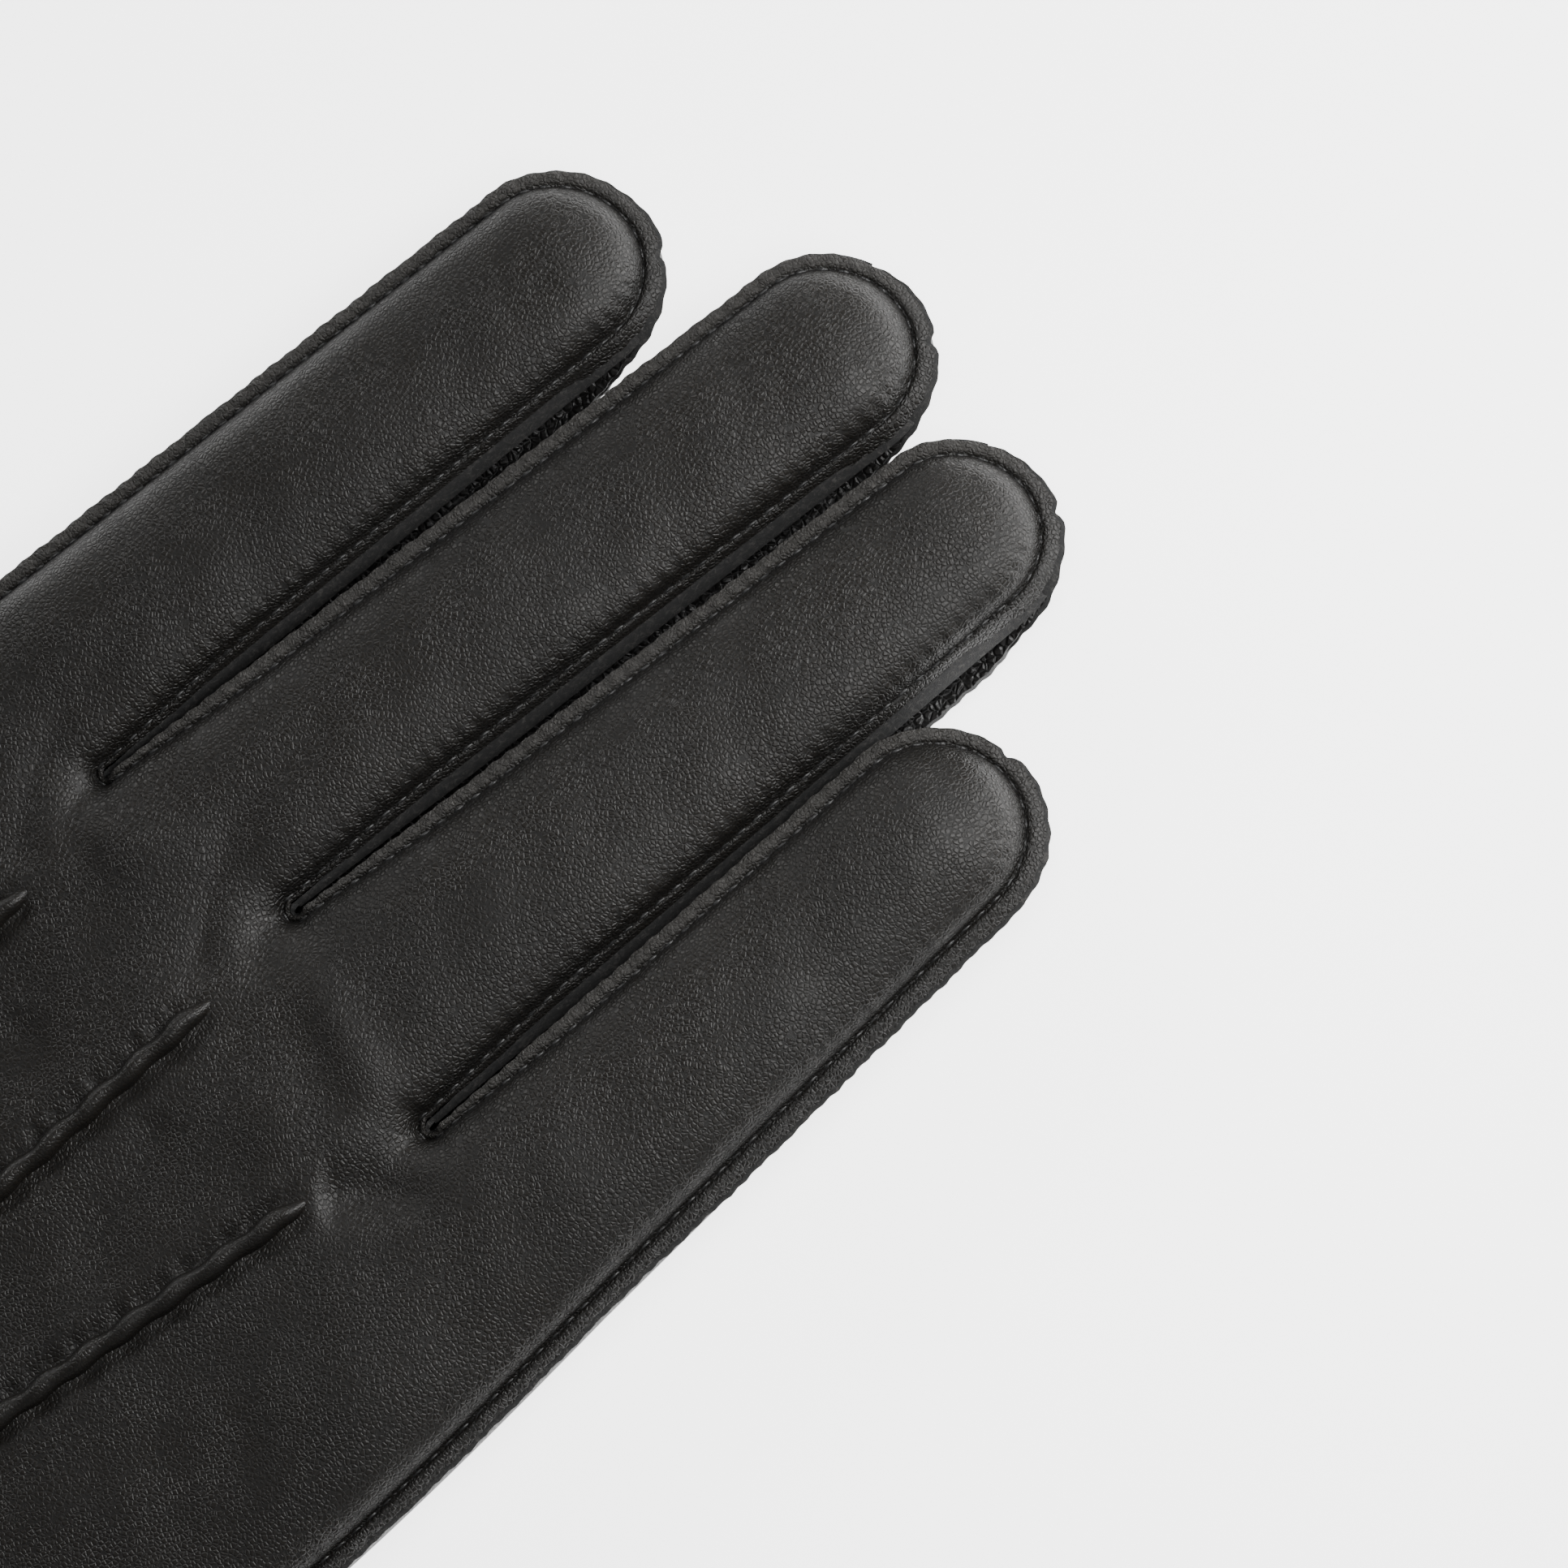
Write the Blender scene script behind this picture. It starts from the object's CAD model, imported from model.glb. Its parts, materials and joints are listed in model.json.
"""Right-hand lined leather dress glove, lying palm down: leather, side strips, points, lining and thread.

Shapes are worked out in millimetres in the glove's own frame (+Y to the fingertips, +X to the little finger,
+Z up, origin under the middle of the palm) and are turned into metres when a mesh is made.
"""
import json
import logging
import math
from dataclasses import dataclass, field
from enum import Enum

import bpy
import numpy as np
from mathutils import Matrix, Vector

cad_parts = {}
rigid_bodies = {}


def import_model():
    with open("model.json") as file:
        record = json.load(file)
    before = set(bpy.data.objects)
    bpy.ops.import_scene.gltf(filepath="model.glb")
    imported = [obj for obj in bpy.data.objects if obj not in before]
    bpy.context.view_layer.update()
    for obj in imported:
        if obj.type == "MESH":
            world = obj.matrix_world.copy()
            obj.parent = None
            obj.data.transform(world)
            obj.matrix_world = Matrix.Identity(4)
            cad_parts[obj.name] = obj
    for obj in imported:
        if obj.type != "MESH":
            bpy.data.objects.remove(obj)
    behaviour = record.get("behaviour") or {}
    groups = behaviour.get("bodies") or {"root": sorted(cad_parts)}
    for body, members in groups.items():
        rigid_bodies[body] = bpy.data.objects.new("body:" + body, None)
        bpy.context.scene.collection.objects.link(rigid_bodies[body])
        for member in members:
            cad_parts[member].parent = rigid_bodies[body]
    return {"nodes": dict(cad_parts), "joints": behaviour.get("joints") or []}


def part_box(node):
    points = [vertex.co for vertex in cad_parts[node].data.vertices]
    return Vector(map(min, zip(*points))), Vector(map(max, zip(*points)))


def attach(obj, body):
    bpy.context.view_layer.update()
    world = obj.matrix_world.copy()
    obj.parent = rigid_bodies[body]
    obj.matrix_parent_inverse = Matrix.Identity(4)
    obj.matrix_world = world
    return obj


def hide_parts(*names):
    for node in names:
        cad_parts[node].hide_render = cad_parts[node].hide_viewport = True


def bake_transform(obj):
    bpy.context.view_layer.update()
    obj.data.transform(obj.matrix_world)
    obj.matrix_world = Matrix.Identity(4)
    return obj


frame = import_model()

log = logging.getLogger("glove")
MM = 0.001
Array = np.ndarray
Colour = tuple[float, float, float, float]
Socket = bpy.types.NodeSocket


# ------------------------------------------------------------------ small mathematics


def smooth(x: Array, low: float, high: float) -> Array:
    """A step from 0 to 1 between low and high: 3u^2 - 2u^3 of the fraction of the way across."""
    u = np.clip((np.asarray(x, float) - low) / (high - low), 0.0, 1.0)
    return u * u * (3.0 - 2.0 * u)


def unit(v: Array) -> Array:
    """Vectors scaled to length one along the last axis."""
    return v / np.maximum(np.linalg.norm(v, axis=-1, keepdims=True), 1e-12)


def ripple(x: Array, y: Array, size: float, seed: int) -> Array:
    """Uneven soft waves in the plane: a sum of eight sines of fixed random direction and phase.

    Args:
        x: Across positions in mm.
        y: Along positions in mm.
        size: Typical wavelength in mm.
        seed: Which set of waves to use.

    Returns:
        Heights of about -1 to 1.
    """
    rng = np.random.default_rng(seed)
    total = np.zeros(np.broadcast(x, y).shape)
    angles, phases = rng.uniform(0, math.pi, 8), rng.uniform(0, 2 * math.pi, 8)
    for angle, phase, stretch in zip(angles, phases, rng.uniform(0.7, 1.5, 8)):
        k = 2 * math.pi / (size * stretch)
        total = total + np.sin(k * (x * math.cos(angle) + y * math.sin(angle)) + phase)
    return total / 3.2


def beside_line(x: Array, y: Array, line: list[tuple[float, float]]) -> tuple[Array, Array]:
    """Signed distance from an open line, positive on its right, and the fraction of the way along it.

    Args:
        x: Across positions.
        y: Along positions.
        line: The line's corners in order.

    Returns:
        Distance in mm with the sign of the side, and a fraction from 0 to 1.
    """
    pts = np.array(line, float)
    steps = np.linalg.norm(np.diff(pts, axis=0), axis=1)
    before = np.concatenate([[0.0], np.cumsum(steps)])
    best = np.full(np.broadcast(x, y).shape, 1e9)
    side = np.zeros_like(best)
    way = np.zeros_like(best)
    for k, step in enumerate(steps):
        d = (pts[k + 1] - pts[k]) / step
        u = np.clip((x - pts[k, 0]) * d[0] + (y - pts[k, 1]) * d[1], 0.0, step)
        dx, dy = x - pts[k, 0] - u * d[0], y - pts[k, 1] - u * d[1]
        gap = np.hypot(dx, dy)
        near = gap < best
        best = np.where(near, gap, best)
        side = np.where(near, np.sign(dx * d[1] - dy * d[0]), side)
        way = np.where(near, (before[k] + u) / before[-1], way)
    return best * side, way


# ------------------------------------------------------------------ finishes


class NodeMaker:
    """Adds shader nodes to a tree in a few words."""

    def __init__(self, tree: bpy.types.NodeTree) -> None:
        """Keeps the tree that nodes are added to."""
        self.tree = tree

    def add(self, kind: str, values: dict | None = None, **settings: object) -> bpy.types.Node:
        """Adds one node.

        Args:
            kind: The node's type name.
            values: Input name or number to a plain value, or to the output socket that feeds it.
            **settings: Properties of the node itself.

        Returns:
            The new node.
        """
        node = self.tree.nodes.new(kind)
        for name, value in settings.items():
            setattr(node, name, value)
        for name, value in (values or {}).items():
            if isinstance(value, bpy.types.NodeSocket):
                self.tree.links.new(value, node.inputs[name])
            else:
                node.inputs[name].default_value = value
        return node

    def math(self, operation: str, a: object, b: object = 0.0, c: object = 0.0) -> Socket:
        """One arithmetic step on plain numbers or sockets; returns its result."""
        return self.add("ShaderNodeMath", {0: a, 1: b, 2: c}, operation=operation).outputs[0]

    def fade(self, value: Socket, low: float, high: float, to_low: float = 0.0, to_high: float = 1.0
             ) -> Socket:
        """Maps low..high smoothly onto to_low..to_high; returns the result."""
        values = {"Value": value, "From Min": low, "From Max": high, "To Min": to_low, "To Max": to_high}
        return self.add("ShaderNodeMapRange", values, interpolation_type="SMOOTHSTEP").outputs[0]

    def noise(self, place: Socket, scale: object, detail: float, **more: float) -> Socket:
        """Noise at a scale and detail, with other inputs by name; returns its value."""
        values = {"Vector": place, "Scale": scale, "Detail": detail, **more}
        return self.add("ShaderNodeTexNoise", values).outputs[0]

    def share(self, group: bpy.types.NodeTree, values: dict) -> bpy.types.Node:
        """Adds one of the shared groups with its inputs; returns its node."""
        node = self.add("ShaderNodeGroup", {}, node_tree=group)
        for name, value in values.items():
            if isinstance(value, bpy.types.NodeSocket):
                self.tree.links.new(value, node.inputs[name])
            else:
                node.inputs[name].default_value = value
        return node

    def surface(self, colour: Socket, rough: Socket, height: Socket, depth: float) -> bpy.types.Node:
        """Adds the bump, the shader and the output; returns the shader."""
        bump = self.add("ShaderNodeBump", {"Strength": 1.0, "Distance": depth, "Height": height})
        shader = self.add("ShaderNodeBsdfPrincipled",
                          {"Base Color": colour, "Roughness": rough, "Normal": bump.outputs[0]})
        self.tree.links.new(shader.outputs[0], self.add("ShaderNodeOutputMaterial").inputs[0])
        return shader

    def tint(self, share: object, a: object, b: object) -> Socket:
        """Mixes two colours by a share; returns the colour."""
        node = self.add("ShaderNodeMix", data_type="RGBA")
        for index, value in ((0, share), (6, a), (7, b)):
            if isinstance(value, bpy.types.NodeSocket):
                self.tree.links.new(value, node.inputs[index])
            else:
                node.inputs[index].default_value = value
        return node.outputs[2]


def start_material(name: str) -> tuple[bpy.types.Material, NodeMaker, Socket]:
    """An empty material, its node maker, and each point's place as it was laid out at rest."""
    material = bpy.data.materials.new(name)
    material.use_nodes = True
    material.node_tree.nodes.clear()
    m = NodeMaker(material.node_tree)
    return material, m, m.add("ShaderNodeAttribute", attribute_name="laid").outputs["Vector"]


def make_group(name: str, inputs: dict[str, tuple[str, object]], outputs: dict[str, str]
               ) -> tuple[bpy.types.NodeTree, NodeMaker, dict[str, Socket], dict[str, Socket]]:
    """An empty shader node group with named sockets.

    Args:
        name: The group's name.
        inputs: Socket name to (kind, first value).
        outputs: Socket name to kind.

    Returns:
        The group, its node maker, the sockets that bring its inputs and those that take its outputs.
    """
    group = bpy.data.node_groups.new(name, "ShaderNodeTree")
    for label, (kind, value) in inputs.items():
        socket = group.interface.new_socket(name=label, in_out="INPUT", socket_type=f"NodeSocket{kind}")
        if value is not None:
            socket.default_value = value
    for label, kind in outputs.items():
        group.interface.new_socket(name=label, in_out="OUTPUT", socket_type=f"NodeSocket{kind}")
    maker = NodeMaker(group)
    given, out = maker.add("NodeGroupInput").outputs, maker.add("NodeGroupOutput").inputs
    return group, maker, given, out


def grain_group() -> bpy.types.NodeTree:
    """Hair-sheep grain: small rounded pebbles with soft valleys, and finer wrinkles over them.

    Returns:
        A group that puts out the grain's height and a mask of its valleys.
    """
    group, m, given, out = make_group(
        "Hide grain",
        {"Place": ("Vector", None), "Pebble": ("Float", 0.00045), "Unevenness": ("Float", 0.5)},
        {"Height": "Float", "Valley": "Float"})
    per_metre = m.math("DIVIDE", 1.0, given["Pebble"])
    wobble = m.add("ShaderNodeTexNoise", {"Vector": given["Place"], "Scale": 900.0, "Detail": 2.0})
    shift = (0.00025,) * 3
    pushed = m.add("ShaderNodeVectorMath", {0: wobble.outputs["Color"], 1: shift}, operation="MULTIPLY")
    moved = m.add("ShaderNodeVectorMath", {0: given["Place"], 1: pushed.outputs[0]}, operation="ADD")
    place = moved.outputs[0]
    cells = m.add("ShaderNodeTexVoronoi", {"Vector": place, "Scale": per_metre, "Randomness": 0.9},
                  feature="DISTANCE_TO_EDGE")
    from_edge = cells.outputs["Distance"]
    fine = m.noise(place, m.math("MULTIPLY", per_metre, 2.3), 3.0, Roughness=0.6)
    coarse = m.noise(place, 160.0, 3.0)
    pebble = m.fade(from_edge, 0.0, 0.28)
    uneven = m.math("MULTIPLY", m.fade(coarse, 0.35, 0.7), given["Unevenness"])
    strength = m.math("SUBTRACT", 1.0, uneven)
    height = m.math("MULTIPLY_ADD", pebble, strength, m.math("MULTIPLY", fine, 0.25))
    m.tree.links.new(height, out["Height"])
    m.tree.links.new(m.fade(from_edge, 0.0, 0.15, 1.0, 0.0), out["Valley"])
    return group


def cloud_group() -> bpy.types.NodeTree:
    """Slow uneven patches, as dye and handling leave on leather or cloth: two sizes of noise added together.

    Returns:
        A group that puts out one patch mask.
    """
    group, m, given, out = make_group("Dye clouds", {"Place": ("Vector", None), "Size": ("Float", 0.02)},
                                      {"Patch": "Float"})
    scale = m.math("DIVIDE", 1.0, given["Size"])
    large = m.noise(given["Place"], scale, 3.0)
    small = m.noise(given["Place"], m.math("MULTIPLY", scale, 6.0), 2.0)
    both = m.math("MULTIPLY_ADD", small, 0.4, m.math("MULTIPLY", large, 0.6))
    m.tree.links.new(m.fade(both, 0.35, 0.65), out["Patch"])
    return group


def fibre_group() -> bpy.types.NodeTree:
    """Cut fibres of a raw leather edge or a flesh side: twisted noise, over fine specks.

    Returns:
        A group that puts out a height and a fleck mask.
    """
    group, m, given, out = make_group("Raw fibres", {"Place": ("Vector", None), "Size": ("Float", 0.0004)},
                                      {"Height": "Float", "Fleck": "Float"})
    scale = m.math("DIVIDE", 1.0, given["Size"])
    hairs = m.noise(given["Place"], scale, 5.0, Roughness=0.75, Distortion=1.5)
    specks = m.math("MULTIPLY", scale, 0.8)
    flecks = m.add("ShaderNodeTexVoronoi", {"Vector": given["Place"], "Scale": specks})
    m.tree.links.new(hairs, out["Height"])
    fleck = m.math("MULTIPLY", m.fade(hairs, 0.45, 0.75), m.fade(flecks.outputs[0], 0.1, 0.6))
    m.tree.links.new(fleck, out["Fleck"])
    return group


def rib_group() -> bpy.types.NodeTree:
    """Rib knit or woven ribs: rounded ridges across one direction, broken into small loops along the other.

    Returns:
        A group that puts out a height and a mask of the gaps.
    """
    group, m, given, out = make_group(
        "Ribs",
        {"Across": ("Float", 0.0), "Along": ("Float", 0.0),
         "Rib": ("Float", 0.0016), "Loop": ("Float", 0.0011)},
        {"Height": "Float", "Gap": "Float"})
    across = m.math("DIVIDE", given["Across"], given["Rib"])
    ridge = m.math("ABSOLUTE", m.math("SINE", m.math("MULTIPLY", across, math.pi)))
    lean = m.math("MULTIPLY", m.math("ABSOLUTE", m.math("SUBTRACT", m.math("FRACT", across), 0.5)), 1.2)
    along = m.math("ADD", m.math("DIVIDE", given["Along"], given["Loop"]), lean)
    loops = m.math("ABSOLUTE", m.math("SINE", m.math("MULTIPLY", along, math.pi)))
    height = m.math("MULTIPLY", m.math("POWER", ridge, 0.6), m.math("MULTIPLY_ADD", loops, 0.4, 0.6))
    m.tree.links.new(height, out["Height"])
    m.tree.links.new(m.math("SUBTRACT", 1.0, m.fade(height, 0.1, 0.6)), out["Gap"])
    return group


class Groups:
    """The node groups that the finishes share, each built once."""

    def __init__(self) -> None:
        """Builds every group."""
        self.grain = grain_group()
        self.clouds = cloud_group()
        self.fibres = fibre_group()
        self.ribs = rib_group()


@dataclass(frozen=True)
class LeatherFinish:
    """Dyed glove leather with a visible grain.

    Attributes hold the colours of the valleys, the pebble tops, the stitch line and a scuffed raw edge, the
    pebble size and the bump depth in metres, the roughness and how unevenly the grain is pressed.
    """

    name: str
    dark: Colour = (0.0022, 0.0021, 0.0019, 1)
    light: Colour = (0.0098, 0.0084, 0.0068, 1)
    stitched: Colour = (0.002, 0.002, 0.002, 1)
    scuffed: Colour = (0.052, 0.049, 0.045, 1)
    pebble: float = 0.00045
    depth: float = 0.00005
    roughness: float = 0.43
    uneven: float = 0.5
    shine: float = 0.32

    def build(self, groups: Groups) -> bpy.types.Material:
        """Makes the material.

        Args:
            groups: The shared node groups.

        Returns:
            The leather.
        """
        material, m, place = start_material(self.name)
        seam = m.add("ShaderNodeAttribute", attribute_name="seam").outputs["Fac"]
        raw = m.add("ShaderNodeAttribute", attribute_name="raw").outputs["Fac"]
        scuff = m.share(groups.fibres, {"Place": place, "Size": 0.0006}).outputs
        pressing = {"Place": place, "Pebble": self.pebble, "Unevenness": self.uneven}
        grain = m.share(groups.grain, pressing).outputs
        patch = m.share(groups.clouds, {"Place": place, "Size": 0.018}).outputs["Patch"]
        wrinkle = m.noise(place, 380.0, 2.0, Distortion=0.4)
        base = m.tint(m.math("MULTIPLY", grain["Valley"], 0.75), self.light, self.dark)
        aged = m.tint(m.math("MULTIPLY", patch, 0.35), base, self.dark)
        sewn = m.tint(m.math("MULTIPLY", seam, 0.35), aged, self.stitched)
        worn = m.math("MULTIPLY", raw, m.math("MULTIPLY_ADD", scuff["Fleck"], 0.7, 0.3))
        colour = m.tint(worn, sewn, self.scuffed)
        rough = m.math("ADD", m.math("MULTIPLY_ADD", grain["Valley"], 0.16, self.roughness - 0.04),
                       m.math("MULTIPLY", patch, 0.07))
        pressed = m.math("MULTIPLY", grain["Height"], m.math("MULTIPLY_ADD", seam, 0.9, 1.0))
        grained = m.math("MULTIPLY_ADD", wrinkle, 0.35, pressed)
        height = m.math("MULTIPLY_ADD", m.math("MULTIPLY", raw, scuff["Height"]), 3.0, grained)
        shader = m.surface(colour, rough, height, self.depth)
        shader.inputs["Specular IOR Level"].default_value = self.shine
        return material


@dataclass(frozen=True)
class FibreFinish:
    """Cut edge or flesh side of leather: matt, fibrous and a little greyer than the grain side."""

    name: str
    dark: Colour = (0.006, 0.006, 0.006, 1)
    light: Colour = (0.035, 0.033, 0.031, 1)
    size: float = 0.0003
    depth: float = 0.00008
    roughness: float = 0.85

    def build(self, groups: Groups) -> bpy.types.Material:
        """Makes the material.

        Args:
            groups: The shared node groups.

        Returns:
            The fibrous surface.
        """
        material, m, place = start_material(self.name)
        fibres = m.share(groups.fibres, {"Place": place, "Size": self.size}).outputs
        colour = m.tint(fibres["Fleck"], self.dark, self.light)
        rough = m.math("MULTIPLY_ADD", fibres["Height"], 0.1, self.roughness - 0.05)
        m.surface(colour, rough, fibres["Height"], self.depth)
        return material


@dataclass(frozen=True)
class RibFinish:
    """Ribbed textile: the knit lining, the elastic, the label and the thread, by rib size and colour.

    The ribs follow the piece's place as it was laid out flat.
    """

    name: str
    yarn: Colour
    gap: Colour
    rib: float
    loop: float
    depth: float
    roughness: float

    def build(self, groups: Groups) -> bpy.types.Material:
        """Makes the material.

        Args:
            groups: The shared node groups.

        Returns:
            The textile.
        """
        material, m, place = start_material(self.name)
        flat = m.add("ShaderNodeSeparateXYZ", {0: place}).outputs
        knitting = {"Across": flat[0], "Along": flat[1], "Rib": self.rib, "Loop": self.loop}
        ribs = m.share(groups.ribs, knitting).outputs
        patch = m.share(groups.clouds, {"Place": place, "Size": 0.006}).outputs["Patch"]
        worn = tuple(0.7 * c for c in self.yarn[:3]) + (1,)
        yarn = m.tint(m.math("MULTIPLY", patch, 0.6), self.yarn, worn)
        colour = m.tint(ribs["Gap"], yarn, self.gap)
        rough = m.math("MULTIPLY_ADD", ribs["Gap"], 0.08, self.roughness - 0.04)
        m.surface(colour, rough, ribs["Height"], self.depth)
        return material


class Finishes:
    """Every finish of the glove, built once."""

    def __init__(self) -> None:
        """Builds the shared groups and then the materials."""
        groups = Groups()
        dark, smoke, grey = (0.003, 0.003, 0.003, 1), (0.006, 0.006, 0.006, 1), (0.03, 0.03, 0.03, 1)
        recipes = (
            LeatherFinish("Back leather"),
            LeatherFinish("Palm leather", pebble=0.0005, roughness=0.46, uneven=0.7),
            LeatherFinish("Strip leather", pebble=0.0008, depth=0.00013, roughness=0.34, uneven=0.2,
                          dark=(0.004, 0.004, 0.004, 1), light=(0.012, 0.0115, 0.011, 1)),
            LeatherFinish("Point leather", depth=0.00003, roughness=0.40),
            FibreFinish("Cut edge"),
            FibreFinish("Flesh side", light=(0.05, 0.047, 0.044, 1), size=0.0006),
            RibFinish("Thread", (0.012, 0.012, 0.012, 1), dark, 0.00035, 0.0006, 0.00004, 0.5),
            RibFinish("Knit lining", (0.035, 0.033, 0.031, 1), smoke, 0.0018, 0.0013, 0.0004, 0.9),
            RibFinish("Elastic", grey, (0.008, 0.008, 0.008, 1), 0.0009, 0.0006, 0.0002, 0.8),
            RibFinish("Label weave", (0.09, 0.088, 0.085, 1), grey, 0.0003, 0.0003, 0.00005, 0.7),
        )
        built = [recipe.build(groups) for recipe in recipes]
        self.back, self.palm, self.strip, self.welt, self.edge, self.flesh = built[:6]
        self.thread, self.knit, self.elastic, self.label = built[6:]


# ------------------------------------------------------------------ sewn skins


def put_mesh(name: str, points: Array, faces: Array, normals: Array | None, slots: Array | None,
             materials: list[bpy.types.Material], layers: dict[str, Array]) -> bpy.types.Object:
    """Makes an object from whole arrays.

    Args:
        name: The piece's name.
        points: Places in mm, one row each.
        faces: Four point numbers a row.
        normals: Shading normals of the points, or None for the mesh's own.
        slots: Material number of each face, or None.
        materials: The materials in slot order.
        layers: Named values of the points.

    Returns:
        The new object, linked to the scene.
    """
    mesh = bpy.data.meshes.new(name)
    same = faces[:, 2] == faces[:, 3]
    loops = np.concatenate([faces[~same].ravel(), faces[same][:, :3].ravel()])
    sizes = np.concatenate([np.full((~same).sum(), 4), np.full(same.sum(), 3)])
    order = np.concatenate([np.flatnonzero(~same), np.flatnonzero(same)])
    mesh.vertices.add(len(points))
    mesh.vertices.foreach_set("co", (points * MM).astype(np.float32).ravel())
    mesh.loops.add(len(loops))
    mesh.loops.foreach_set("vertex_index", loops.astype(np.int32))
    mesh.polygons.add(len(sizes))
    mesh.polygons.foreach_set("loop_start", np.concatenate([[0], np.cumsum(sizes)[:-1]]).astype(np.int32))
    mesh.polygons.foreach_set("loop_total", sizes.astype(np.int32))
    mesh.polygons.foreach_set("use_smooth", np.ones(len(sizes), bool))
    for material in materials:
        mesh.materials.append(material)
    if slots is not None:
        mesh.polygons.foreach_set("material_index", slots[order].astype(np.int32))
    mesh.update(calc_edges=True)
    laid = mesh.attributes.new("laid", "FLOAT_VECTOR", "POINT")
    laid.data.foreach_set("vector", (points * MM).astype(np.float32).ravel())
    for label, values in layers.items():
        mesh.attributes.new(label, "FLOAT", "POINT").data.foreach_set("value", values.astype(np.float32))
    if normals is not None:
        mesh.normals_split_custom_set_from_vertices(normals.astype(np.float32))
    obj = bpy.data.objects.new(name, mesh)
    bpy.context.scene.collection.objects.link(obj)
    return obj


def grid_faces(rows: int, cols: int, turn: bool) -> Array:
    """Point numbers of a grid's faces, each going round the other way if turn is set."""
    at = np.arange(rows * cols).reshape(rows, cols)
    a, b, c, d = at[:-1, :-1], at[:-1, 1:], at[1:, 1:], at[1:, :-1]
    quad = np.stack([a, d, c, b] if turn else [a, b, c, d], axis=-1)
    return quad.reshape(-1, 4)


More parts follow.
